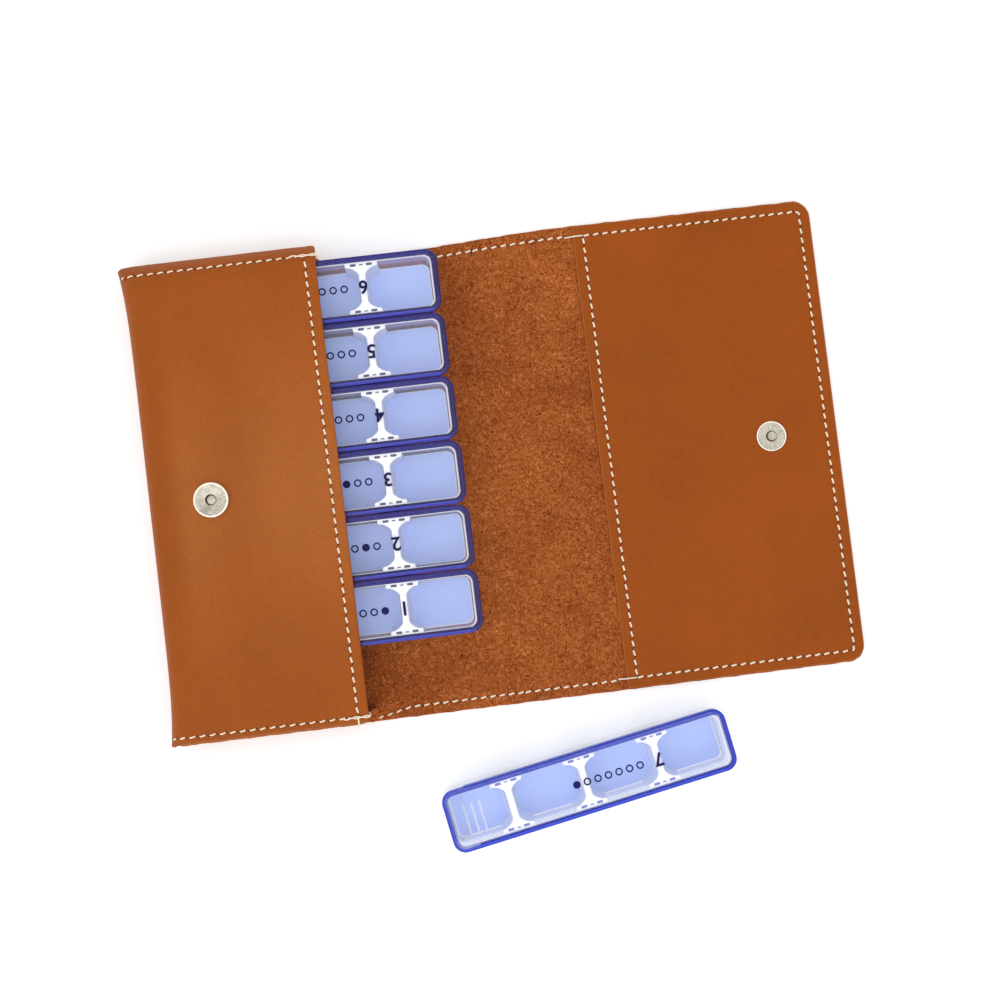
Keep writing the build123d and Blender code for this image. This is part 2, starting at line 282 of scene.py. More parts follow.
class Finishes(bpy.types.PropertyGroup):
    """Display colours of the finishes."""

    leather: colour("Leather", "Smooth side of the cover", 160, 81, 24)
    # The paler colour of the painted sheen on the pocket's front: the shine of the light painted into the
    # leather.
    leather_rubbed: colour("Rubbed leather", "Smooth side where it is handled", 176, 99, 44)
    facing: colour("Facing", "Leather on the flap's inside", 158, 77, 18)
    suede_tip: colour("Suede tips", "Tips of the raised nap", 208, 131, 79)
    suede: colour("Suede", "Raised nap of the rough side", 173, 94, 43)
    suede_dark: colour("Suede shade", "Pressed nap of the rough side", 152, 76, 32)
    suede_pit: colour("Suede pits", "Pits between the fibres", 94, 36, 13)
    edge: colour("Cut edge", "Raw cut of the leather", 182, 104, 56)
    thread: colour("Thread", "Waxed thread", 248, 234, 210)
    hole: colour("Needle hole", "Inside of the needle holes", 92, 38, 12)
    # The bright nickel of the rims is a painted highlight on their rounded edges, and the hollow's dark colour
    # is painted shade inside the socket's hole and the stud's groove.
    nickel: colour("Nickel", "Polished rim of the snap", 238, 232, 218)
    worn: colour("Worn nickel", "Worn face of the snap", 178, 172, 158)
    hollow: colour("Hollow", "Dark inside of the snap's hole", 92, 82, 76)
    # Each pair below of a colour in the wallet and a loose one is one plastic: the loose colour is lighter,
    # painted light from the white table round a strip out of the wallet, and the wallet colour darker, painted
    # shade from the leather round it.
    tray: colour("Tray", "Clear wall of a tray in the wallet", 112, 116, 206)
    tray_loose: colour("Loose tray", "Clear wall of a tray out of the wallet", 214, 223, 254)
    haze: colour("Haze", "Hazy top of a wall in the wallet", 168, 170, 236)
    haze_loose: colour("Loose haze", "Hazy top of a wall out of the wallet", 222, 234, 255)
    inner_loose: colour("Loose inside", "Lower inside of a wall out of the wallet", 160, 181, 240)
    divider_side: colour("Divider side", "Shaded sides of the dividers", 226, 233, 255)
    floor: colour("Floor", "Frosted floor of a tray", 174, 194, 253)
    # This white also colours the line round the tray's rim, a painted highlight.
    white: colour("Divider", "White of the dividers and rim line", 243, 245, 252)
    slit: colour("Slit", "Slits in the dividers of a tray in the wallet", 34, 36, 88)
    slit_loose: colour("Loose slit", "Slits in the dividers of a tray out of the wallet", 104, 118, 206)
    rail: colour("Rail", "Blue of a lid's long edges in the wallet", 76, 82, 204)
    rail_loose: colour("Loose rail", "Blue of a lid's long edges out of the wallet", 60, 86, 238)
    end: colour("Lid end", "Deep blue of the lid's ends", 52, 42, 114)
    plate: colour("Plate", "Clear plate of a lid", 247, 248, 255)
    ink: colour("Ink", "Printed day marks", 34, 29, 84)


class StageSizes(bpy.types.PropertyGroup):
    """Camera, lamps and floor."""

    camera_place: place("Camera", "Where the camera stands", (0.05252, -0.02950, 0.57643))
    camera_target: place("Target", "Where the camera looks", (0.07651, -0.01280, 0.0))
    camera_roll: turn("Roll", "Turn of the camera about its view", 6.8885)
    camera_lens: bpy.props.FloatProperty(
        name="Lens", description="Focal length", default=50.4, min=1.0, unit="CAMERA",
    )
    floor_reach: length("Floor", "Half the width of the floor", 6.0)
    floor_gap: length("Floor gap", "Distance of the floor under the wallet", 0.0002)
    floor_glow: share("Floor glow", "Light that the pale floor gives off", 0.14)
    fade_start: length("Fade start", "Distance at which the floor starts to turn white", 0.45)
    fade_end: length("Fade end", "Distance from which the floor is white", 0.9)
    lamp_size: length("Lamp", "Width of the overhead lamp", 2.6)
    lamp_place: place("Lamp place", "Where the overhead lamp hangs", (-0.35, -0.45, 1.5))
    lamp_power: bpy.props.FloatProperty(
        name="Lamp power", description="Power of the overhead lamp", default=18.0, min=0.0, unit="POWER",
    )
    sky: share("Sky", "Strength of the light from all round", 0.70)


class OrganizerSettings(bpy.types.PropertyGroup):
    """All settings of the organizer."""

    wallet: bpy.props.PointerProperty(type=WalletSizes, name="Wallet", description="Leather cover")
    seam: bpy.props.PointerProperty(type=SeamSizes, name="Seams", description="Hand-sewn seams")
    strip: bpy.props.PointerProperty(type=StripSizes, name="Strips", description="Day strips")
    snap: bpy.props.PointerProperty(type=SnapSizes, name="Snap", description="Magnetic snap")
    finish: bpy.props.PointerProperty(type=Finishes, name="Finishes", description="Colours")
    stage: bpy.props.PointerProperty(type=StageSizes, name="Stage", description="Camera and light")


# Surfaces as arrays


def unit(vectors):
    """Vectors of length one."""
    return vectors / np.linalg.norm(vectors, axis=-1, keepdims=True)


def smooth_step(value, low, high):
    """Zero up to low, one from high on, and a smooth cubic rise between."""
    t = np.clip((value - low) / (high - low), 0, 1)
    return t * t * (3 - 2 * t)


def grid_faces(rows, columns, ring=False, loop=False):
    """Quads of a grid of points; a ring closes each row, and a loop joins the last row to the first."""
    i, j = np.meshgrid(
        np.arange(rows if loop else rows - 1), np.arange(columns if ring else columns - 1), indexing="ij"
    )
    i, j = i.ravel(), j.ravel()
    below, beside = (i + 1) % rows, (j + 1) % columns
    corners_of = [i * columns + j, i * columns + beside, below * columns + beside, below * columns + j]
    return np.stack(corners_of, -1)


def rounded_rectangle(size_x, size_y, radius, steps=8):
    """A counter-clockwise loop of four quarter circles, one at each corner, joined by straight edges."""
    angle = np.arange(4)[:, None] * np.pi / 2 + np.linspace(0, np.pi / 2, steps + 1)
    middle_x = (size_x / 2 - radius) * np.array([1, -1, -1, 1])[:, None]
    middle_y = (size_y / 2 - radius) * np.array([1, 1, -1, -1])[:, None]
    loop = [middle_x + radius * np.cos(angle), middle_y + radius * np.sin(angle)]
    return np.stack(loop, -1).reshape(-1, 2)


def circle(radius, steps):
    """A counter-clockwise loop of points at equal angles."""
    angle = np.linspace(0, 2 * np.pi, steps, endpoint=False)
    return radius * np.stack([np.cos(angle), np.sin(angle)], -1)


def raised(loop, z):
    """A flat loop of points lifted to a height."""
    return np.column_stack([loop, np.full(len(loop), z)])


class Maker:
    """Gathers closed surfaces as points, faces and the finish number of each face."""

    def __init__(self):
        self.points = np.empty((0, 3))
        self.faces = []
        self.finishes = []

    def add(self, points, *face_groups):
        """Adds points and groups of faces on them, each group with its finish number."""
        base = len(self.points)
        self.points = np.concatenate([self.points, np.reshape(points, (-1, 3))])
        for faces, finish in face_groups:
            self.faces += (np.asarray(faces) + base).tolist()
            self.finishes += np.broadcast_to(finish, len(faces)).tolist()

    def loft(self, rings, finish=0):
        """Joins rings of points, each counter-clockwise seen from the next, and closes both ends.

        The finish is one number, or a list with one for each band between two rings.
        """
        rings = np.asarray(rings, float)
        count, around = rings.shape[:2]
        bands = np.broadcast_to(finish, count - 1)
        ends = [np.arange(around)[::-1], (count - 1) * around + np.arange(around)]
        sides = grid_faces(count, around, ring=True)
        self.add(rings, (sides, np.repeat(bands, around)), (ends, bands[[0, -1]]))

    def hoop(self, rings, finish=0):
        """Joins rings of points all the way round, the last to the first."""
        rings = np.asarray(rings, float)
        self.add(rings, (grid_faces(*rings.shape[:2], ring=True, loop=True), finish))

    def tubes(self, lines, normals, half_width, half_height, taper, finish=0, sides=6):
        """Many short threads at once.

        lines holds the middle points of each thread and normals a direction for each of them. At every
        point an ellipse of the given half width and half height, times that point's taper, stands
        square across the line, and the ellipses are joined in a closed tube.
        """
        threads, stations = lines.shape[:2]
        along = unit(np.gradient(lines, axis=1))
        side = unit(np.cross(np.broadcast_to(normals, lines.shape), along))
        up = np.cross(along, side)
        angle = np.linspace(0, 2 * np.pi, sides, endpoint=False)[:, None]
        ellipse = half_width * np.cos(angle) * side[:, :, None] + half_height * np.sin(angle) * up[:, :, None]
        points = lines[:, :, None] + np.reshape(taper, (1, -1, 1, 1)) * ellipse
        starts = np.arange(threads)[:, None, None] * stations * sides
        quads = (grid_faces(stations, sides, ring=True) + starts).reshape(-1, 4)
        ends = np.stack([np.arange(sides)[::-1], (stations - 1) * sides + np.arange(sides)])
        self.add(points, (quads, finish), ((ends + starts).reshape(-1, sides), finish))

    def piece(self, name, materials, where=None, attributes=None):
        """The gathered surfaces as one object at the origin, with their place in the mesh."""
        points = self.points
        if where is not None:
            points = points @ np.array(where.to_3x3()).T + np.array(where.translation)
        mesh = bpy.data.meshes.new(name)
        mesh.from_pydata(points, [], self.faces)
        for material in materials:
            mesh.materials.append(material)
        mesh.polygons.foreach_set("material_index", np.array(self.finishes, np.int32))
        mesh.polygons.foreach_set("use_smooth", np.ones(len(self.faces), bool))
        mesh.set_sharp_from_angle(angle=SHARP_ANGLE)
        for label, values in (attributes or {}).items():
            layer = mesh.attributes.new(label, "FLOAT", "POINT")
            layer.data.foreach_set("value", np.asarray(values, np.float32))
        mesh.update()
        made = bpy.data.objects.new(name, mesh)
        bpy.context.scene.collection.objects.link(made)
        return made


def bridge(made, bodies, crease, reach, slot, *nodes):
    """Bakes a finished piece's place into its mesh and hides the nodes that it stands for."""
    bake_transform(made)
    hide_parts(*nodes)


def dress(made, body, slot, *nodes):
    """Puts a finished piece on its body and hides the nodes that it stands for."""
    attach(made, body)
    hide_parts(*nodes)


# Node materials


def linear(display):
    """A display colour as the linear colour that a shader takes, with full alpha."""
    value = np.array(display[:3])
    value = np.where(value <= 0.04045, value / 12.92, ((value + 0.055) / 1.055) ** 2.4)
    return (*value.tolist(), 1.0)


def shade(display, factor):
    """A display colour made darker or lighter by a factor in linear light."""
    value = linear(display)
    return (*[min(1.0, part * factor) for part in value[:3]], 1.0)


def feed(tree, node, inputs):
    """Gives a node's inputs, by name or number, their values or links."""
    for name, value in inputs.items():
        if isinstance(value, bpy.types.NodeSocket):
            tree.links.new(value, node.inputs[name])
        else:
            node.inputs[name].default_value = value


def add_node(tree, kind, inputs=None, **settings):
    """A node with its settings, and values or links for its inputs."""
    made = tree.nodes.new(kind)
    for name, value in settings.items():
        setattr(made, name, value)
    feed(tree, made, inputs or {})
    return made


def compute(tree, operation, *values, **settings):
    """The result of a math node on values or links."""
    return add_node(
        tree, "ShaderNodeMath", dict(enumerate(values)), operation=operation, **settings
    ).outputs[0]


def new_group(name, values, outputs):
    """A node group with a vector and named values going in; returns it, its inputs and its output node."""
    group = bpy.data.node_groups.new(name, "ShaderNodeTree")
    group.interface.new_socket("Vector", in_out="INPUT", socket_type="NodeSocketVector")
    for label, default in values.items():
        socket = group.interface.new_socket(label, in_out="INPUT", socket_type="NodeSocketFloat")
        socket.default_value = default
    for label in outputs:
        group.interface.new_socket(label, in_out="OUTPUT", socket_type="NodeSocketFloat")
    return group, group.nodes.new("NodeGroupInput").outputs, group.nodes.new("NodeGroupOutput")


def mottle_group():
    """Uneven tone: a coarse and a fine noise, bent into curls, mixed by a balance and spread by a contrast."""
    values = {"Coarse": 40.0, "Fine": 900.0, "Balance": 0.5, "Contrast": 1.5, "Bend": 0.0}
    group, take, leave = new_group("mottle", values, ["Tone", "Height"])
    coarse, fine = [
        add_node(
            group, "ShaderNodeTexNoise",
            {"Vector": take["Vector"], "Scale": take[scale], "Detail": detail, "Roughness": roughness,
             "Distortion": take["Bend"]},
        ).outputs["Fac"]
        for scale, detail, roughness in (("Coarse", 4.0, 0.6), ("Fine", 3.0, 0.65))
    ]
    mixed = add_node(group, "ShaderNodeMix", {"Factor": take["Balance"], "A": coarse, "B": fine})
    centred = compute(group, "SUBTRACT", mixed.outputs["Result"], 0.5)
    spread = compute(group, "MULTIPLY_ADD", centred, take["Contrast"], 0.5, use_clamp=True)
    feed(group, leave, {"Tone": spread, "Height": fine})
    return group


def grain_group():
    """Leather grain: rounded pebbles of a cell texture, bent by a noise, with creases between them."""
    group, take, leave = new_group("hide_grain", {"Cells": 1100.0}, ["Height", "Crease"])
    bend = add_node(group, "ShaderNodeTexNoise", {"Vector": take["Vector"], "Scale": 500.0, "Detail": 2.0})
    shift = add_node(
        group, "ShaderNodeVectorMath", {0: bend.outputs["Color"], 1: (0.0006, 0.0006, 0.0006)},
        operation="MULTIPLY",
    )
    moved = add_node(group, "ShaderNodeVectorMath", {0: take["Vector"], 1: shift.outputs[0]}, operation="ADD")
    cells = add_node(
        group, "ShaderNodeTexVoronoi",
        {"Vector": moved.outputs[0], "Scale": take["Cells"]}, feature="DISTANCE_TO_EDGE",
    )
    pebble = add_node(
        group, "ShaderNodeMapRange",
        {"Value": cells.outputs["Distance"], "From Min": 0.0, "From Max": 0.3}, interpolation_type="SMOOTHSTEP",
    ).outputs["Result"]
    feed(group, leave, {"Height": pebble, "Crease": compute(group, "SUBTRACT", 1.0, pebble)})
    return group


class Palette:
    """The finishes of the organizer, each made once from the display colours.

    The material in hand is kept as its tree, its shader and the piece's own coordinates.
    """

    def __init__(self, finish):
        self.finish = finish
        self.mottle = mottle_group()
        self.grain = grain_group()
        self.made = {}

    def start(self, name, **values):
        """Takes a new material in hand; returns its uneven tone, with its own values."""
        material = bpy.data.materials.new(name)
        material.use_nodes = True
        self.made[name] = material
        self.tree = material.node_tree
        self.shader = self.tree.nodes["Principled BSDF"]
        self.where = add_node(self.tree, "ShaderNodeTexCoord").outputs["Object"]
        return self.tone(**values)

    def tone(self, **values):
        """The outputs of the mottle group with its own values."""
        return self.group(self.mottle, **values)

    def group(self, tree, **values):
        """The outputs of a node group on the piece's own coordinates."""
        return add_node(self.tree, "ShaderNodeGroup", {"Vector": self.where, **values}, node_tree=tree).outputs

    def attribute(self, name):
        """A share that each point of the piece holds."""
        return add_node(self.tree, "ShaderNodeAttribute", attribute_name=name).outputs["Fac"]

    def between(self, tone, dark, light, **settings):
        """A colour between a dark and a light one, by a tone."""
        inputs = {"Factor": tone, "A": dark, "B": light}
        return add_node(self.tree, "ShaderNodeMix", inputs, data_type="RGBA", **settings).outputs["Result"]

    def times(self, first, second):
        """The product of two colours."""
        return self.between(1.0, first, second, blend_type="MULTIPLY")

    def cloudy(self, tone, display, low, high):
        """A display colour that a tone takes from a darker to a lighter shade."""
        return self.between(tone, shade(display, low), shade(display, high))

    def ranged(self, tone, low, high):
        """A tone spread from low to high."""
        inputs = {"Value": tone, "To Min": low, "To Max": high}
        return add_node(self.tree, "ShaderNodeMapRange", inputs).outputs["Result"]

    def coat(self, base, roughness, specular=None, **others):
        """Gives the shader its colour, roughness and shine, and its other inputs."""
        inputs = {"Base Color": base, "Roughness": roughness, **others}
        if specular is not None:
            inputs["Specular IOR Level"] = specular
        feed(self.tree, self.shader, inputs)

    def bump(self, height, depth, strength):
        """A bump of that depth on the shader's normal."""
        inputs = {"Height": height, "Distance": depth, "Strength": strength}
        made = add_node(self.tree, "ShaderNodeBump", inputs)
        feed(self.tree, self.shader, {"Normal": made.outputs["Normal"]})

    def smooth_leather(self, name, display, rubbed):
        """Waxed leather: faint pebbled grain, a soft change of tone, a low shine, paler where a painted sheen
        lies.
        """
        tone = self.start(name, Coarse=16.0, Fine=420.0, Balance=0.35, Contrast=2.4)["Tone"]
        grain = self.group(self.grain)
        # The piece's share of painted sheen, paler where the shine of the light is painted on.
        worn = self.attribute("rubbed")
        dark, light = [self.between(worn, shade(display, part), shade(rubbed, part)) for part in (0.84, 1.16)]
        crease = compute(self.tree, "MULTIPLY", grain["Crease"], 0.22)
        body = self.between(crease, self.between(tone, dark, light), shade(display, 0.62))
        self.coat(body, self.ranged(tone, 0.40, 0.56), 0.1)
        self.bump(grain["Height"], 0.00008, 0.35)

    def suede(self):
        """Brushed rough side: curled fibres from dark pits to pale tips, over a broad soft change of tone."""
        finish = self.finish
        nap = self.start("suede", Coarse=700.0, Fine=1250.0, Balance=0.55, Contrast=4.2, Bend=1.2)["Tone"]
        fibres = add_node(self.tree, "ShaderNodeValToRGB", {"Fac": nap})
        ramp = fibres.color_ramp
        for stop in (0.22, 0.6):
            ramp.elements.new(stop)
        stops = (finish.suede_pit, finish.suede_dark, finish.suede, finish.suede_tip)
        for element, display in zip(ramp.elements, stops):
            element.color = linear(display)
        broad = self.tone(Coarse=20.0, Fine=90.0, Balance=0.4, Contrast=4.2)["Tone"]
        ground = self.between(broad, (0.80, 0.70, 0.67, 1.0), (1.13, 1.14, 1.10, 1.0))
        self.coat(self.times(fibres.outputs["Color"], ground), 0.95, 0.08)
        self.bump(nap, 0.0004, 0.6)

    def cut_edge(self):
        """Raw cut of the leather: fibres in uneven browns."""
        tone = self.start("cut_edge", Coarse=240.0, Fine=1900.0, Balance=0.5, Contrast=2.6)
        self.coat(self.cloudy(tone["Tone"], self.finish.edge, 0.55, 1.25), 0.9, 0.15)
        self.bump(tone["Height"], 0.0004, 0.7)

    def thread(self):
        """Waxed thread: twisted strands as slanting bands, a little uneven in tone."""
        tone = self.start("waxed_thread", Coarse=160.0, Fine=2400.0, Balance=0.5, Contrast=1.6)["Tone"]
        self.coat(self.cloudy(tone, self.finish.thread, 0.86, 1.08), 0.62)
        twist = add_node(
            self.tree, "ShaderNodeTexWave", {"Vector": self.where, "Scale": 420.0, "Distortion": 1.5},
            bands_direction="DIAGONAL",
        )
        self.bump(twist.outputs["Fac"], 0.0001, 0.4)

    def needle_hole(self):
        """Shadowed inside of a needle hole."""
        tone = self.start("needle_hole", Coarse=300.0, Fine=1500.0)["Tone"]
        self.coat(self.cloudy(tone, self.finish.hole, 0.7, 1.3), 0.95, 0.1)

    def nickel(self, name, display, roughness, spread):
        """Plated metal: fine scratches in the shine and a cloudy tone of wear."""
        tone = self.start(name, Coarse=420.0, Fine=1700.0, Balance=0.55, Contrast=6.5)
        plating = self.cloudy(tone["Tone"], display, 1 - spread, 1 + spread)
        self.coat(plating, self.ranged(tone["Tone"], roughness, roughness + 0.16), Metallic=1.0)
        self.bump(tone["Height"], 0.00004, 0.3)

    def clear(self, name, display, body, roughness, loose=None, loose_body=None):
        """Clear moulded plastic: mostly see-through, with a faint cloudy body and a shine.

        Out of the wallet it takes the loose colour and body, by the piece's own attribute: a lighter colour as
        painted light from the white table.
        """
        tone = self.start(name, Coarse=60.0, Fine=700.0, Balance=0.4, Contrast=1.4)
        apart = self.attribute("loose")
        cloud = self.ranged(tone["Tone"], 0.85, 1.15)
        solid = compute(self.tree, "MULTIPLY", self.ranged(apart, body, loose_body or body), cloud)
        tint = self.between(apart, linear(display), linear(loose or display))
        self.coat(tint, self.ranged(tone["Tone"], roughness, roughness + 0.05), Alpha=solid)
        self.bump(tone["Height"], 0.00002, 0.08)

    def satin(self, tone, cloud, roughness, glow, specular=None):
        """A satin shine on a cloudy colour that glows a little: painted light, since no lamp is there."""
        glowing = {"Emission Color": cloud, "Emission Strength": glow}
        self.coat(cloud, self.ranged(tone["Tone"], roughness, roughness + 0.12), specular, **glowing)
        self.bump(tone["Height"], 0.00003, 0.12)

    def frosted(self, name, display, roughness, spread, glow=0.0, loose=None, specular=None):
        """Frosted or white moulded plastic: a slightly cloudy tone, a satin shine and a faint painted glow.

        Out of the wallet it takes the loose colour, where there is one, by the piece's own attribute: a lighter
        colour as painted light from the white table.
        """
        tone = self.start(name, Coarse=75.0, Fine=520.0, Balance=0.3, Contrast=1.6)
        cloud = self.cloudy(tone["Tone"], display, 1 - spread, 1 + spread)
        if loose:
            cloud = self.between(self.attribute("loose"), cloud, linear(loose))
        self.satin(tone, cloud, roughness, glow, specular)

    def floor_plate(self):
        """Frosted floor: a cloudy blue, painted lighter across the bay towards +Y as light falling on it, with
        a satin shine and a faint painted glow.
        """
        tone = self.start("frosted_floor", Coarse=75.0, Fine=520.0, Balance=0.3, Contrast=1.6)
        # The share across the bay paints the floor lighter towards +Y: painted light.
        inputs = {"Factor": 0.35, "A": self.attribute("across"), "B": tone["Tone"]}
        level = add_node(self.tree, "ShaderNodeMix", inputs).outputs["Result"]
        self.satin(tone, self.cloudy(level, self.finish.floor, 0.84, 1.12), 0.38, 0.16, 0.3)

    def blue_border(self):
        """Coloured edge of a lid: bright on its rails, deep at its ends, see-through where it is thin.

        A sine of the distance from the lid's outline, shifted by a noise, draws lighter and darker streaks
        along it: painted highlight lines along the rails.
        """
        finish = self.finish
        tone = self.start("blue_border", Coarse=90.0, Fine=480.0, Balance=0.3, Contrast=1.5)
        # Out of the wallet the rails take a brighter blue, painted light from the white table.
        rail = self.between(self.attribute("loose"), linear(finish.rail), linear(finish.rail_loose))
        blue = self.between(self.attribute("deep_share"), rail, linear(finish.end))
        shifted = compute(self.tree, "MULTIPLY_ADD", tone["Tone"], 2.0, self.attribute("streaks"))
        wave = compute(self.tree, "MULTIPLY_ADD", compute(self.tree, "SINE", shifted), 0.5, 0.5)
        streaked = self.times(blue, self.between(wave, (0.42, 0.42, 0.52, 1.0), (1.0, 1.0, 1.0, 1.0)))
        solid = self.ranged(self.attribute("thin_share"), 0.92, 0.28)
        self.coat(streaked, self.ranged(tone["Tone"], 0.12, 0.24), 0.3, Alpha=solid)
        self.bump(tone["Height"], 0.00003, 0.12)

    def build(self):
        """Makes every finish."""
        finish = self.finish
        self.smooth_leather("smooth_leather", finish.leather, finish.leather_rubbed)
        self.smooth_leather("facing_leather", finish.facing, finish.facing)
        self.suede()
        self.cut_edge()
        self.thread()
        self.needle_hole()
        self.nickel("nickel", finish.nickel, 0.28, 0.06)
        self.nickel("worn_nickel", finish.worn, 0.34, 0.26)
        self.nickel("snap_hollow", finish.hollow, 0.5, 0.3)
        self.clear("clear_tray", finish.tray, 0.11, 0.10, finish.tray_loose, 0.085)
        self.clear("hazy_wall", finish.haze, 0.58, 0.12, finish.haze_loose, 0.45)
        self.clear("hazy_ridge", finish.white, 0.28, 0.2)
        self.clear("inner_wall", finish.tray, 0.2, 0.10, finish.inner_loose, 0.6)
        self.clear("clear_plate", finish.plate, 0.06, 0.04)
        self.floor_plate()
        # The white dividers and the rim line get a faint painted glow, light that no lamp gives.
        self.frosted("white_divider", finish.white, 0.22, 0.04, 0.12)
        self.frosted("divider_side", finish.divider_side, 0.3, 0.05)
        self.frosted("slit_shadow", finish.slit, 0.5, 0.2, loose=finish.slit_loose)
        self.frosted("day_ink", finish.ink, 0.6, 0.15, specular=0.1)
        self.blue_border()


PALETTE = {}


def finishes(names):
    """The named materials, in order."""
    return [PALETTE[name] for name in names]


# Leather cover


class Cover:
    """The cover as a surface of two lengths: along its section from the pocket's mouth, and across.

    The section's heading is piecewise linear in its length: the sloping front, a quarter turn down,
    a short drop, a quarter turn back and the flat back, spine and flap. Summing the heading's cosine
    and sine along the length gives x and z.
    """

    STEP = 0.0002
    LEAD = 0.004
    DROP_POWER = 2.2
    FLARE_POWER = 8
    FLARE_MIDDLE = 0.4
    FLARE_WIDTH = 1.4
    PULL_RISE = 0.03
    PULL_FALL = 0.01
    WAVER_SHIFT = 0.5

    def __init__(self, sizes):
        self.sizes = sizes
        radius = sizes.fold_radius - LEATHER / 2
        slope = FRONT_SLOPE
        rise = POCKET_HIGH[2] - LEATHER
        mouth = MOUTH_X - sizes.mouth_pull
        reach = mouth - FOLD_X - LEATHER / 2
        front = (reach - radius * (1 - math.sin(slope))) / math.cos(slope)
        drop = rise - front * math.sin(slope) - radius * (1 + math.cos(slope))
        back = FLAP_END - FOLD_X - LEATHER / 2 - radius
        runs = [front, radius * (np.pi / 2 - slope), drop, radius * np.pi / 2, back]
        marks = np.concatenate([[0.0], np.cumsum(runs)])
        self.fold_start, self.drop_end, self.fold_end, self.end = marks[[1, 3, 4, 5]]
        headings = np.pi * np.array([1, 1, 1.5, 1.5, 2, 2]) + slope * np.array([1, 1, 0, 0, 0, 0])
        count = int((self.end + 2 * self.LEAD) / self.STEP)
        self.s = np.linspace(-self.LEAD, self.end + self.LEAD, count)
        middle = np.interp((self.s[1:] + self.s[:-1]) / 2, marks, headings)
        moves = np.diff(self.s) * np.array([np.cos(middle), np.sin(middle)])
        self.x, self.z = np.concatenate([[[0.0], [0.0]], np.cumsum(moves, axis=1)], axis=1)
        self.x += mouth - np.interp(0, self.s, self.x)
        self.z += POCKET_HIGH[2] - LEATHER / 2 - np.interp(0, self.s, self.z)

    def at(self, x):
        """Length along the section of a point of the back, spine or flap."""
        return self.end - (FLAP_END - x)

    def on_fold(self, s, width):
        """A bell curve of the length from the middle of the fold."""
        return np.exp(-(((s - (self.fold_start + self.fold_end) / 2) / width) ** 2))

    def line(self, s, side, far_trim, near_trim):
        """Distance of a line beside an edge from the middle line: the half width less pull and trim."""
        x = np.interp(s, self.s, self.x)
        on_back = smooth_step(s, self.fold_end, self.fold_end + self.PULL_RISE)
        before_facing = 1 - smooth_step(x, MOUTH_X + self.PULL_FALL, FACING_LOW[0])
        pull = self.sizes.top_pull * (side > 0) * on_back * before_facing
        trim = far_trim if side > 0 else near_trim
        return HALF_WIDTH - pull - trim * (1 - smooth_step(s, self.fold_start, self.drop_end))

    def reach(self, s, side):
        """Distance of the cut edge from the middle line: rounded corners, a pinched fold and a fine waver."""
        sizes = self.sizes
        cut = corner_cut(s, sizes.mouth_corner) + corner_cut(self.end - s, sizes.flap_corner)
        pinch = sizes.fold_pinch * self.on_fold(s, sizes.fold_radius)
        edge = self.line(s, side, -sizes.front_spread, sizes.front_trim)
        return edge - cut - pinch + sizes.edge_waver * waver(s + self.WAVER_SHIFT * side)

    def seam(self, s, side, inset):
        """Distance of a stitch line from the middle line."""
        return self.line(s, side, self.sizes.far_seam_trim, self.sizes.seam_trim) - inset

    def middle(self, s, y):
        """A point halfway through the leather.

        The pocket's edges hang by a power of their nearness, and the fold's ends flare out by a power of
        their distance from the middle line.
        """
        sizes = self.sizes
        near = np.clip((np.abs(y) - HALF_WIDTH + sizes.drop_reach) / sizes.drop_reach, 0, 1)
        hang = 1 - smooth_step(s, self.fold_start, self.drop_end)
        drop = sizes.edge_drop * hang * near**self.DROP_POWER
        x, z = np.interp(s, self.s, self.x), np.interp(s, self.s, self.z)
        flare = self.FLARE_MIDDLE - np.abs(y / HALF_WIDTH) ** self.FLARE_POWER
        x = x + sizes.fold_flare * self.on_fold(s, self.FLARE_WIDTH * sizes.fold_radius) * flare
        return np.stack(np.broadcast_arrays(x, y, z - drop), -1)

    def point(self, s, y, lift):
        """A point off the middle surface by a lift along its outward normal."""
        step = 2 * self.STEP
        along = self.middle(s + step, y) - self.middle(s - step, y)
        across = self.middle(s, y + step) - self.middle(s, y - step)
        normal = unit(np.cross(across, along))
        return self.middle(s, y) + normal * np.asarray(lift)[..., None]


def corner_cut(distance, radius):
    """How far a rounded corner lies inside the straight edge, by the distance from the end."""
    short = np.clip(radius - distance, 0, radius)
    return radius - np.sqrt(radius**2 - short**2)


def waver(s):
    """A fine uneven wave, the sum of three sines of unlike lengths, from -1 to 1."""
    waves = [(0.0131, 0.5, 0.4), (0.0053, 0.3, 1.9), (0.0022, 0.2, 4.1)]
    return sum(size * np.sin(2 * np.pi * s / span + phase) for span, size, phase in waves)


def edge_stations(sizes, seam):
    """Distances from an edge at which a sheet has points: close at the rounding and beside the seam."""
    rounding = sizes.edge_round * np.array([0.0, 0.35, 1.0])
    beside = np.arange(2.5 * sizes.edge_round, 2 * seam.inset, seam.groove_width / 2)
    return np.concatenate([rounding, beside])


def edge_taper(distance, sizes):
    """Share of the thickness left at a distance from a cut edge: a rounded shoulder."""
    return 0.5 + 0.5 * np.sin(np.pi / 2 * np.clip(distance / sizes.edge_round, 0, 1))


def groove(distance, seam):
    """Share of the thickness left beside a seam: one less a bell curve about the stitch line."""
    return 1 - seam.groove_share * np.exp(-(((distance - seam.inset) / seam.groove_width) ** 2))


COVER_COATS = ("smooth_leather", "suede", "cut_edge")
FACING_COATS = ("facing_leather", "suede", "cut_edge")
OUTER, INNER, CUT = range(3)
HALF_COLUMNS = 26
LEAST_STEP = 0.00005


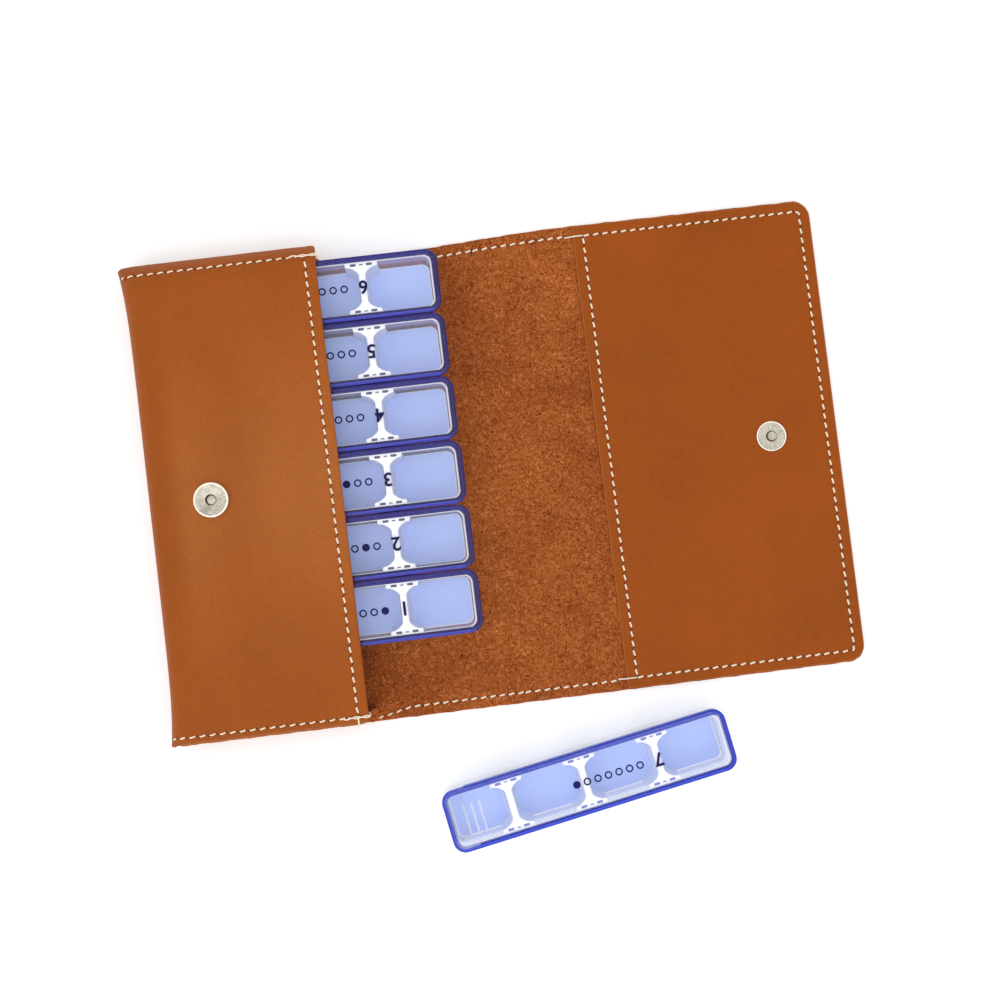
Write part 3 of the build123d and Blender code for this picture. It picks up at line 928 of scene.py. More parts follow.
def add_sheet(maker, top, bottom, outer, inner, edge):
    """Closes two grids of points, a sheet's outer and inner side, with a rim between their borders."""
    rows, columns = top.shape[:2]
    quads = grid_faces(rows, columns)
    count = rows * columns
    row, column = np.arange(rows), np.arange(columns)
    border = np.concatenate([
        column[:-1],
        row[:-1] * columns + columns - 1,
        (rows - 1) * columns + column[:0:-1],
        row[:0:-1] * columns,
    ])
    following = np.roll(border, -1)
    rim = np.stack([following, border, border + count, following + count], -1)
    maker.add(
        np.concatenate([top.reshape(-1, 3), bottom.reshape(-1, 3)]),
        (quads, outer), (quads[:, ::-1] + count, inner), (rim, edge),
    )


def across_sheet(near, seam, half_width):
    """Shares of the half width at which a sheet has points, from one edge to the other."""
    far = np.linspace(2 * seam.inset, half_width, HALF_COLUMNS)
    half = 1 - np.concatenate([near, far]) / half_width
    return np.concatenate([-half, half[-2::-1]])


def cover_sheet(cover, seam, rows, free_start, free_end, seam_at):
    """The part of the cover over the given lengths.

    Across, points lie close at the edges and far in the middle. The thickness falls at cut edges and
    along every seam, where the thread pulls the leather in.
    """
    sizes = cover.sizes
    columns = across_sheet(edge_stations(sizes, seam), seam, HALF_WIDTH)
    s = rows[:, None]
    reach = np.where(columns > 0, cover.reach(s, 1), cover.reach(s, -1))
    y = columns * reach
    from_side = reach * (1 - np.abs(columns))
    sewn = np.where(columns > 0, cover.seam(s, 1, 0), cover.seam(s, -1, 0)) - np.abs(y)
    thickness = LEATHER / 2 * edge_taper(from_side, sizes) * groove(sewn, seam)
    if free_start:
        thickness = thickness * edge_taper(s - rows[0], sizes)
    if free_end:
        thickness = thickness * edge_taper(rows[-1] - s, sizes)
    thickness = thickness * groove(np.abs(s - seam_at) + seam.inset, seam)
    maker = Maker()
    add_sheet(maker, cover.point(s, y, thickness), cover.point(s, y, -thickness), OUTER, INNER, CUT)
    return maker


def cover_rows(*stretches):
    """Lengths along the section at which a sheet has points, from stretches of start, end and step."""
    runs = [np.arange(start, end, step) for start, end, step in stretches]
    last = stretches[-1][1]
    rows = np.unique(np.concatenate([*runs, [last]]).round(6))
    return rows[np.concatenate([[True], np.diff(rows) > LEAST_STEP])]


def rubbed_share(points, sizes):
    """How much painted sheen pales the pocket's front at each point, from 0 to 1: a paler patch that stands in
    for the shine of the light.

    A bell across the wallet, times a smooth step away from the fold, less a second bell in a band of less
    sheen beside the snap. Another smooth step in height keeps it off the back panel.
    """
    x, y, z = points.T
    across = np.exp(-0.5 * (y / sizes.rub_reach) ** 2)
    away = smooth_step(x, FOLD_X + sizes.rub_start, FOLD_X + sizes.rub_full)
    sheen_gap_x = (SOCKET_LOW[0] + SOCKET_HIGH[0]) / 2 + sizes.band_offset
    beside = 1 - sizes.band_shade * np.exp(-0.5 * ((x - sheen_gap_x) / sizes.band_reach) ** 2)
    upper = smooth_step(z, POCKET_HIGH[2] / 3, POCKET_HIGH[2] / 2)
    return across * away * beside * upper


# Seams


def stations(line, seam, lean_way, count=5):
    """Stitches that fill a line: for each one, points from its start to its end, leaning by the slant."""
    lengths = np.concatenate([[0.0], np.cumsum(np.linalg.norm(np.diff(line, axis=0), axis=1))])
    stitches = round((lengths[-1] - seam.stitch) / seam.pitch) + 1
    starts = np.linspace(0, lengths[-1] - seam.stitch, stitches)[:, None]
    share_along = np.linspace(0, 1, count)
    where = starts + seam.stitch * share_along
    points = np.stack([np.interp(where, lengths, line[:, axis]) for axis in range(2)], -1)
    along = unit(points[:, -1] - points[:, 0])
    across = np.stack([-along[:, 1], along[:, 0]], -1)
    lean = lean_way * (share_along - 0.5) * seam.stitch * math.tan(seam.slant)
    return points + lean[None, :, None] * across[:, None]


SEAM_COATS = ("waxed_thread", "needle_hole")
THREAD, HOLE = range(len(SEAM_COATS))
STITCH_RISE = np.array([-1.6, 0.35, 1.0, 0.35, -1.6])
STITCH_TAPER = np.array([0.55, 0.95, 1.0, 0.95, 0.55])
STITCH_SUNK, STITCH_HALF_HEIGHT = 0.18, 0.36
HOLE_LOW, HOLE_TOP = 0.5, 0.02
HOLE_HALF_WIDTH, HOLE_HALF_LENGTH = 0.42, 0.5
LINE_POINTS = 400


def sew(maker, surface, line, lift, seam, side=1, lean_way=1):
    """Sews one side of a seam along a line of a surface.

    Each stitch is a thread that rises out of its first needle hole, lies along the leather and dips
    into the next one. The surface turns the line's two lengths and a lift into points. The sizes of
    a stitch and its holes are shares of the thread's width.
    """
    stitch = stations(line, seam, lean_way)
    rise = lift - seam.thread * STITCH_SUNK + seam.proud * STITCH_RISE
    lines, ground = [
        surface(stitch[..., 0], stitch[..., 1], side * np.broadcast_to(height, stitch.shape[:2]))
        for height in (rise, lift - seam.thread)
    ]
    normals = unit(lines - ground)
    maker.tubes(lines, normals, seam.thread / 2, seam.thread * STITCH_HALF_HEIGHT, STITCH_TAPER, THREAD)
    ends = stitch[:, [0, -1]].reshape(-1, 2)
    depth = np.array([lift - HOLE_LOW * seam.thread, lift - HOLE_TOP * seam.thread])
    holes = surface(ends[:, :1], ends[:, 1:], side * np.broadcast_to(depth, (len(ends), 2)))
    seam_way = np.repeat(unit(lines[:, -1] - lines[:, 0]), 2, axis=0)[:, None]
    half_width, half_length = seam.thread * HOLE_HALF_WIDTH, seam.thread * HOLE_HALF_LENGTH
    maker.tubes(holes, seam_way, half_width, half_length, np.ones(2), HOLE)


def edge_line(cover, start, end, inset, side):
    """The stitch line beside one edge of the cover, between two lengths along its section."""
    s = np.linspace(start, end, LINE_POINTS)
    return np.column_stack([s, side * cover.seam(s, side, inset)])


# Day strips


def strip_place(day):
    """The place of a day's strip: its middle under the lid's middle, turned along the lid's slide."""
    axis = JOINTS[f"lid_{day}_slide"]["axis"]
    low, high = corners(f"day_{day}_lid")
    base = corners(f"day_{day}_tray")[0][2]
    middle = (low + high) / 2
    about = Matrix.Rotation(math.atan2(axis[1], axis[0]), 4, "Z")
    return Matrix.Translation((middle[0], middle[1], base)) @ about


def is_loose(day):
    """Whether a day's strip lies out of the wallet, where it is free to be lifted."""
    return f"strip_{day}_lift" in JOINTS


def tray_loop(sizes, offset, steps=8):
    """The outline of the tray's wall, moved outwards by an offset."""
    size_x = TRAY_LENGTH - 2 * sizes.rim_overhang + 2 * offset
    size_y = TRAY_WIDTH - 2 * sizes.rim_overhang + 2 * offset
    radius = max(sizes.tray_corner + offset, 0.2 * sizes.tray_corner)
    return rounded_rectangle(size_x, size_y, radius, steps) + np.array([TRAY_SHIFT, 0.0])


HOLLOW_SHARE, HOLLOW_POWER, TIP_SHARE = 0.92, 1.35, 0.4


def divider_loop(sizes, half_bay, spread):
    """Outline of a divider: a web and a bar along each wall, joined by the hollow of a superellipse.

    The spread widens the web and the bars together.
    """
    half = sizes.divider / 2 + spread
    shelf = half_bay - sizes.flare_depth - spread
    tip = sizes.flare_reach + 0.5 * spread
    soft = TIP_SHARE * sizes.flare_depth
    span = HOLLOW_SHARE * (tip - soft - half)
    angle = np.linspace(0, np.pi / 2, 11)
    across, along = 1 - np.cos(angle) ** HOLLOW_POWER, 1 - np.sin(angle) ** HOLLOW_POWER
    hollow = np.column_stack([half + span * across, shelf - sizes.flare_round * along])
    angle = np.linspace(-np.pi / 2, 0, 4)
    blunt = np.column_stack([tip - soft + soft * np.cos(angle), shelf + soft + soft * np.sin(angle)])
    quarter = np.concatenate([hollow, blunt, [[tip, half_bay]]])
    upper = np.concatenate([quarter, quarter[::-1] * [-1, 1]])
    return np.concatenate([upper, -upper])


TRAY_COATS = (
    "clear_tray", "white_divider", "frosted_floor", "slit_shadow", "divider_side", "hazy_wall", "inner_wall",
)
CLEAR, WHITE, FROSTED, SLIT, SHADED, HAZE, INSIDE = range(len(TRAY_COATS))
RAMP_POWER, RAMP_EDGE, RAMP_PLAY, RAMP_CORNER = 1.4, 0.0004, 0.0016, 0.0002


def at_levels(loop, sizes, section):
    """Loops of one kind at the offsets and heights of a section."""
    return [raised(loop(sizes, offset), z) for offset, z in section]


def add_tray(maker, sizes):
    """A tray in strip coordinates: clear tub, a white line round the rim as a painted highlight, white
    dividers, frosted floors and ramp.
    """
    floor, wall, top, draft = sizes.floor, sizes.wall, TRAY_HEIGHT, sizes.draft
    foot, dish = sizes.foot, sizes.dish
    quarter = np.linspace(0, np.pi / 2, 5)
    bulge = sizes.rim_overhang
    outside = [(bulge + foot * math.sin(a) - foot, foot - foot * math.cos(a)) for a in quarter]
    rim_edge = 0.25 * sizes.rim
    rim = [
        (bulge, SKIRT_Z - 0.5 * sizes.rim), (0.0, SKIRT_Z - 0.3 * sizes.rim),
        (0.0, top - sizes.rim), (sizes.rim_overhang, top - sizes.rim),
        (sizes.rim_overhang, top - rim_edge), (sizes.rim_overhang - rim_edge, top),
        (-wall + rim_edge, top), (-wall, top - rim_edge),
    ]
    halfway = [(-wall - sizes.haze * draft, top - sizes.haze * (top - floor))]
    inside = [(dish * math.cos(a) - dish - wall - draft, floor + dish - dish * math.sin(a)) for a in quarter]
    bands = [CLEAR] * (len(outside) + len(rim) - 1) + [HAZE, INSIDE] + [CLEAR] * (len(inside) - 1)
    bands[len(outside) - 2] = INSIDE
    maker.loft(at_levels(tray_loop, sizes, [*outside, *rim, *halfway, *inside]), bands)

    # A thin white ridge along the rim's inner edge: a painted highlight.
    bead = sizes.bead
    section = [
        (-wall + 0.9 * bead, top - bead), (-wall + 0.9 * bead, top), (-wall + 0.3 * bead, top + 0.2 * bead),
        (-wall - 0.1 * bead, top), (-wall - 0.1 * bead, top - bead),
    ]
    maker.hoop(at_levels(tray_loop, sizes, section), WHITE)

    half_bay = TRAY_WIDTH / 2 - sizes.rim_overhang - wall
    middles = [LID_LENGTH * (part - 0.5) for part in sizes.divider_shares]
    for x in middles:
        add_divider(maker, sizes, x, half_bay)

    low_end, high_end = [
        TRAY_SHIFT + side * (TRAY_LENGTH / 2 - sizes.rim_overhang - wall - draft) for side in (-1, 1)
    ]
    right = [high_end, *(x - sizes.divider / 2 - sizes.side_spread for x in middles)]
    left = [*(x + sizes.divider / 2 + sizes.side_spread for x in middles), low_end]
    for high, low in zip(right, left):
        add_floor(maker, sizes, (high + low) / 2, high - low, 2 * (half_bay - draft))

    levels = np.linspace(0, 1, 7)
    lengths = sizes.ramp * (1 - levels) ** RAMP_POWER
    heights = floor + (top - sizes.rim - sizes.ramp_drop - floor) * levels
    ramp = [
        raised(rounded_rectangle(RAMP_EDGE + run, 2 * half_bay - RAMP_PLAY, RAMP_CORNER, 2), z)
        + [low_end + run / 2, 0, 0]
        for run, z in zip(lengths, heights)
    ]
    maker.loft(ramp, CLEAR)


def add_divider(maker, sizes, x, half_bay):
    """One white divider with leaning sides, and the dark slits in the tops of its two bars."""
    floor, top = sizes.floor, TRAY_HEIGHT
    soft = 0.15 * sizes.rim
    section = [(sizes.side_spread, floor), (0.0, top - 2 * soft), (0.0, top - soft), (-0.4 * soft, top)]
    rings = [raised(divider_loop(sizes, half_bay, spread) + [x, 0], z) for spread, z in section]
    maker.loft(rings, [SHADED, WHITE, WHITE])
    slit = rounded_rectangle(sizes.slit_length, sizes.slit_width, 0.3 * sizes.slit_width, 2)
    notch = slit * [0.6, 0.45]
    depth, lift = 0.3 * sizes.slit_width, 0.06 * sizes.slit_width
    for along, shape in ((-0.5, slit), (0.0, notch), (0.5, slit)):
        for side in (-1, 1):
            spot = shape + [x + along * sizes.flare_reach, side * (half_bay - 0.5 * sizes.flare_depth)]
            maker.loft([raised(spot, top - depth), raised(spot, top + lift)], SLIT)


def add_floor(maker, sizes, middle, size_x, size_y):
    """The frosted floor of one bay: a flat plate with rounded corners and a low pale lip."""
    soft = 0.25 * sizes.floor
    section = soft * np.array([(0, -1), (0, 1), (0.3, 1.7), (1, 2), (1.7, 2), (2.2, 1.6)])
    rings = []
    for inset, height in section:
        loop = rounded_rectangle(size_x - 2 * inset, size_y - 2 * inset, sizes.bay_corner - inset)
        rings.append(raised(loop + [middle, 0], sizes.floor + height))
    maker.loft(rings, [SHADED] * 4 + [FROSTED])


LID_COATS = ("clear_plate", "blue_border", "hazy_ridge")
PLATE, BORDER, RIDGE = range(len(LID_COATS))
LID_CORNER_STEPS = 10
RIDGES, RIDGE_SUNK = 3, 0.0002
END_BLUE_START, END_BLUE_FULL = 0.0055, 0.0015


def lid_loop(sizes, inset):
    """The outline of the lid, moved inwards."""
    radius = max(sizes.lid_corner - inset, 0.2 * sizes.lid_corner)
    return rounded_rectangle(LID_LENGTH - 2 * inset, LID_WIDTH - 2 * inset, radius, LID_CORNER_STEPS)


def rail_path(sizes, inset):
    """The outline of the lid, moved inwards, from the end of one rail round the closed end to the other."""
    loop, corner = lid_loop(sizes, inset), LID_CORNER_STEPS + 1
    closed = np.concatenate([loop[-corner:], loop[:corner]])
    open_end = -LID_LENGTH / 2 + sizes.rail_setback
    return np.concatenate([[[open_end, closed[0, 1]]], closed, [[open_end, closed[-1, 1]]]])


def add_lid(maker, sizes):
    """A lid in strip coordinates: clear plate, blue border and the skirt that slides on the tray's rim."""
    low = TRAY_HEIGHT + sizes.lid_gap
    top = low + sizes.plate
    edge, border = 0.35 * sizes.plate, sizes.border
    bands = [(part * sizes.solid_band, top) for part in (1.0, 1.08)]
    section = [
        (sizes.skirt, low), (0.0, low), (0.0, top - edge), (0.3 * edge, top - 0.3 * edge), (edge, top),
        *bands, (border - 0.5 * edge, top), (border, top - 0.35 * edge), (border, low + 0.2 * edge),
    ]
    maker.hoop(at_levels(lid_loop, sizes, section), BORDER)
    inner, face = border - 0.15 * edge, top - 0.4 * edge
    maker.loft(at_levels(lid_loop, sizes, [(inner, low + 0.25 * edge), (inner, face)]), PLATE)

    skirt, under, over = sizes.skirt, SKIRT_Z, low + 0.1 * edge
    hook = [
        (0.0, over), (0.0, under + 0.4 * skirt), (0.3 * skirt, under), (skirt + sizes.lip, under),
        (skirt + sizes.lip, under + 0.6 * skirt), (skirt, under + 0.9 * skirt), (skirt, over),
    ]
    maker.loft(np.array(at_levels(rail_path, sizes, hook)).transpose(1, 0, 2), BORDER)

    width, ridge_length = sizes.ridge_width, sizes.ridge_length
    foot = rounded_rectangle(width, ridge_length, 0.45 * width, 4)
    crown = rounded_rectangle(0.5 * width, 0.92 * ridge_length, 0.2 * width, 4)
    levels = [(foot, -RIDGE_SUNK), (foot, 0.5 * sizes.ridge_height), (crown, sizes.ridge_height)]
    for number in range(RIDGES):
        x = -LID_LENGTH / 2 + sizes.ridge_offset + number * sizes.ridge_pitch
        maker.loft([raised(loop + [x, 0], face + height) for loop, height in levels], RIDGE)


def lid_tints(points, sizes):
    """How deep the blue of a lid is, how see-through, and the angle of its streaks, at each point.

    The distance from the lid's outline is that to a rounded rectangle. A band of it along the near rail
    and the ends is solid, and the rest is thin. The blue is bright in the near rail's band, deep at the
    ends and inside the band, and in between along the far rail. The near rail's brighter blue is painted
    light from the lamp's side, and the far rail's deeper blue is painted shade.
    """
    radius, x, y = sizes.lid_corner, np.abs(points[:, 0]), points[:, 1]
    beyond = np.column_stack([x, np.abs(y)]) - [LID_LENGTH / 2 - radius, LID_WIDTH / 2 - radius]
    inset = radius - np.linalg.norm(np.maximum(beyond, 0), axis=1) - np.minimum(beyond.max(axis=1), 0)
    inside = smooth_step(inset, 1.01 * sizes.solid_band, 1.07 * sizes.solid_band)
    end = smooth_step(x, LID_LENGTH / 2 - END_BLUE_START, LID_LENGTH / 2 - END_BLUE_FULL)
    far = smooth_step(y, LID_WIDTH / 2 - radius, LID_WIDTH / 2 - 0.4 * radius) * (1 - end)
    deep = np.maximum(end, np.where(y > 0, sizes.far_depth, inside))
    return deep, np.maximum(inside * (1 - far), sizes.far_thin * far), 2 * np.pi * inset / sizes.streak


def numeral_points(text, height):
    """A plain numeral of the given height as a flat mesh of points and triangles."""
    curve = bpy.data.curves.new("numeral", "FONT")
    curve.body = text
    curve.resolution_u = 6
    curve.offset = 0.02
    holder = bpy.data.objects.new("numeral", curve)
    mesh = bpy.data.meshes.new_from_object(holder)
    points = np.empty(len(mesh.vertices) * 3)
    mesh.vertices.foreach_get("co", points)
    points = points.reshape(-1, 3)
    mesh.calc_loop_triangles()
    faces = np.empty(len(mesh.loop_triangles) * 3, np.int32)
    mesh.loop_triangles.foreach_get("vertices", faces)
    bpy.data.objects.remove(holder)
    bpy.data.curves.remove(curve)
    bpy.data.meshes.remove(mesh)
    low, high = points.min(0), points.max(0)
    return (points - (low + high) / 2) * height / (high[1] - low[1]), faces.reshape(-1, 3)


DOT_STEPS, DOT_HOLLOW = 20, 0.62


def add_mark(maker, sizes, day):
    """A day's mark, printed on its lid: the numeral and a row of seven dots with that day's one filled.

    It reads from the far side, so the numeral is turned half round and the row runs towards -X.
    """
    z = TRAY_HEIGHT + sizes.lid_gap + sizes.plate - 0.14 * sizes.plate
    start = LID_LENGTH * (sizes.divider_shares[0] - 0.5)
    points, faces = numeral_points(str(day), sizes.numeral)
    count = len(points)
    under = points * [-1, -1, 1] + [start, 0, z]
    edges = np.concatenate([faces, np.roll(faces, -1, axis=1)], axis=0).reshape(2, -1).T
    border = edges[~np.isin(edges[:, 1] * count + edges[:, 0], edges[:, 0] * count + edges[:, 1])]
    walls = np.column_stack([border[:, ::-1], border + count])
    both = np.concatenate([under + [0, 0, sizes.ink], under])
    maker.add(both, (faces, 0), (faces[:, ::-1] + count, 0), (walls, 0))
    outer = circle(sizes.dot / 2, DOT_STEPS)
    section = [(1.0, z), (1.0, z + sizes.ink), (DOT_HOLLOW, z + sizes.ink), (DOT_HOLLOW, z)]
    for number in DAYS:
        x = start - 0.9 * sizes.numeral - number * sizes.dot_pitch + 0.4 * sizes.dot_pitch
        rings = [raised(outer * part + [x, 0], level) for part, level in section]
        if number == day:
            maker.loft(rings[:2])
        else:
            maker.hoop(rings)


# Snap


SNAP_COATS = ("nickel", "worn_nickel", "snap_hollow")
RIM, FACE, HOLLOW = range(len(SNAP_COATS))
TURNED_STEPS = 72


def turned_piece(name, coats, where, profile, finish=0):
    """A profile of radius and height carried round its axis and closed at both ends, with finishes by band."""
    maker = Maker()
    maker.loft([raised(circle(radius, TURNED_STEPS), z) for radius, z in profile], finish)
    return maker.piece(name, finishes(coats), where)


def arc(middle_r, middle_z, radius, start, end, steps=6):
    """Points of a profile along part of a circle, with its angles in degrees."""
    angle = np.radians(np.linspace(start, end, steps))
    return list(zip(middle_r + radius * np.cos(angle), middle_z + radius * np.sin(angle)))


# Operators


def settings(context):
    """The organizer's settings."""
    return context.scene.organizer


class ORGANIZER_OT_finishes(bpy.types.Operator):
    """Make the node materials and give them to the frame's inner pieces"""

    bl_idname = "organizer.finishes"
    bl_label = "Finishes"

    def execute(self, context):
        palette = Palette(settings(context).finish)
        palette.build()
        PALETTE.update(palette.made)
        for node in ("snap_socket_base", "snap_socket_washer", "snap_stud_washer"):
            for holder in frame["nodes"][node].material_slots:
                holder.material = PALETTE["nickel"]
        return {"FINISHED"}


class ORGANIZER_OT_cover(bpy.types.Operator):
    """Make the leather cover in two sheets that meet halfway across the spine"""

    bl_idname = "organizer.cover"
    bl_label = "Leather cover"

    FIRST_STEP, FRONT_STEP, FOLD_STEP, BACK_STEP, BEND_STEP = 0.0015, 0.0025, 0.0009, 0.003, 0.0008

    def execute(self, context):
        sizes, seam = settings(context).wallet, settings(context).seam
        cover = Cover(sizes)
        near, bend = edge_stations(sizes, seam), sizes.bend_reach
        crease, second, middle = [cover.at(x) for x in (CREASE_X, SECOND_CREASE_X, MID_SPINE_X)]
        first, last = near[-1] + self.FIRST_STEP, cover.end - near[-1] - self.FIRST_STEP
        coats = finishes(COVER_COATS)

        rows = cover_rows(
            (first, cover.fold_start, self.FRONT_STEP), (cover.fold_start, cover.fold_end, self.FOLD_STEP),
            (cover.fold_end, crease - bend, self.BACK_STEP), (crease - bend, crease + bend, self.BEND_STEP),
            (crease + bend, middle, self.FRONT_STEP),
        )
        maker = cover_sheet(cover, seam, np.concatenate([near, rows]), True, False, seam.inset)
        # A painted sheen: a paler patch on the pocket's front that stands in for the shine of the light.
        sheened = {"rubbed": rubbed_share(maker.points, sizes)}
        made = maker.piece("pocket_cover", coats, attributes=sheened)
        bridge(made, ("case", "spine"), CREASE_X, bend, "leather_smooth", "cover_pocket")

        rows = cover_rows(
            (middle, second - bend, self.FRONT_STEP), (second - bend, second + bend, self.BEND_STEP),
            (second + bend, last, self.BACK_STEP),
        )
        rows = np.concatenate([rows, cover.end - near[::-1]])
        maker = cover_sheet(cover, seam, rows, False, True, cover.end - seam.inset)
        made = maker.piece("flap_cover", coats)
        bridge(made, ("spine", "flap"), SECOND_CREASE_X, bend, "leather_suede", "spine_panel", "flap_panel")
        return {"FINISHED"}


class ORGANIZER_OT_facing(bpy.types.Operator):
    """Make the smooth facing that is sewn on the flap"""

    bl_idname = "organizer.facing"
    bl_label = "Flap facing"

    FLAT_ROWS = 36
    RAW_ROWS = 2

    def execute(self, context):
        sizes, seam = settings(context).wallet, settings(context).seam
        near = edge_stations(sizes, seam)
        start, end = FACING_LOW[0], FACING_HIGH[0]
        half_thickness = (FACING_HIGH[2] - FACING_LOW[2]) / 2
        reach = FACING_HIGH[1]
        past_seam = 2.2 * seam.inset
        flat = np.linspace(start + past_seam, end - past_seam, self.FLAT_ROWS)
        x = np.concatenate([start + near, flat, end - near[::-1]])[:, None]
        columns = across_sheet(near, seam, reach)
        side = np.sign(columns)
        edge = reach - corner_cut(end - x, sizes.flap_corner) + sizes.edge_waver * waver(x + 0.3 + 0.4 * side)
        y = columns * edge
        from_side = edge * (1 - np.abs(columns))
        thickness = half_thickness * edge_taper(from_side, sizes) * groove(from_side, seam)
        for distance in (x - start, end - x):
            thickness = thickness * edge_taper(distance, sizes) * groove(distance, seam)
        middle = FACING_LOW[2] + half_thickness
        top = np.stack(np.broadcast_arrays(x, y, middle + thickness), -1)
        bottom = np.stack(np.broadcast_arrays(x, y, middle - thickness), -1)
        maker = Maker()
        face = np.full((top.shape[0] - 1, top.shape[1] - 1), CUT)
        raw = self.RAW_ROWS
        face[raw:-raw, raw:-raw] = OUTER
        add_sheet(maker, bottom, top, INNER, face.ravel(), CUT)
        made = maker.piece("flap_lining", finishes(FACING_COATS))
        dress(made, "flap", "leather_facing", "flap_facing")
        return {"FINISHED"}


class ORGANIZER_OT_gussets(bpy.types.Operator):
    """Make the two folded gussets that close the pocket's sides"""

    bl_idname = "organizer.gussets"
    bl_label = "Gussets"

    ROWS, COLUMNS = 60, 33
    BEND_POWER = 2 / 7
    UPPER_SHORT, FAR_SHORT, HANG_LIMIT = 1.3, 1.5, 1.05
    SUEDE, CUT = range(2)

    def execute(self, context):
        for name, side in (("gusset_upper", 1), ("gusset_lower", -1)):
            maker = self.fold(settings(context).wallet, side)
            made = maker.piece(f"{name}_fold", finishes(["suede", "cut_edge"]))
            dress(made, "case", "leather_suede", name)
        return {"FINISHED"}

    def fold(self, sizes, side):
        """A sheet whose section is half a superellipse, open to the outside.

        Its two legs lie under the front and on the back, and its bend stands beside the strips, no
        further in than the frame's gusset. The upper leg hangs with the pocket's edge.
        """
        cover = Cover(sizes)
        half = sizes.gusset_thickness / 2
        angle = np.linspace(-np.pi / 2, np.pi / 2, self.COLUMNS)
        inward = np.abs(np.cos(angle)) ** self.BEND_POWER
        upward = np.sign(np.sin(angle)) * np.abs(np.sin(angle)) ** self.BEND_POWER
        raise_share = 0.5 + 0.5 * upward
        start = GUSSET_LOW[0]
        end = MOUTH_X - sizes.mouth_pull + sizes.gusset_tail * (1 - self.UPPER_SHORT * raise_share)
        x = start + (end - start) * np.linspace(0, 1, self.ROWS)[:, None]
        front = POCKET_HIGH[2] - (MOUTH_X - x) * math.tan(FRONT_SLOPE) - LEATHER
        rounding = corner_cut(x - start, sizes.mouth_corner) + corner_cut(end - x, sizes.mouth_corner)
        uneven = sizes.edge_waver * waver(x + 0.2 * side)
        near_proud = sizes.gusset_proud - sizes.front_trim
        under_front = near_proud if side < 0 else -self.FAR_SHORT * sizes.gusset_proud
        pulled = HALF_WIDTH - cover.line(cover.at(x), side, 0, 0)
        edge = HALF_WIDTH - rounding + uneven + under_front * raise_share - pulled * (1 - raise_share)
        y = np.maximum(edge - (sizes.gusset_depth - rounding) * inward, GUSSET_LOW[1] + half)
        low, high = LEATHER + half, front - half
        z = (low + high) / 2 + (high - low) / 2 * upward
        near = np.clip((y - HALF_WIDTH + sizes.drop_reach) / sizes.drop_reach, 0, self.HANG_LIMIT)
        z = z - sizes.edge_drop * near**cover.DROP_POWER * raise_share
        middle = np.stack(np.broadcast_arrays(x, side * y, z), -1)
        normal = side * unit(np.cross(np.gradient(middle, axis=0), np.gradient(middle, axis=1)))
        maker = Maker()
        sides = [middle + half * normal, middle - half * normal]
        face = np.full((self.ROWS - 1, self.COLUMNS - 1), self.SUEDE)
        face[:, -1] = self.CUT
        add_sheet(maker, *sides[::side], face.ravel(), face.ravel(), self.CUT)
        return maker


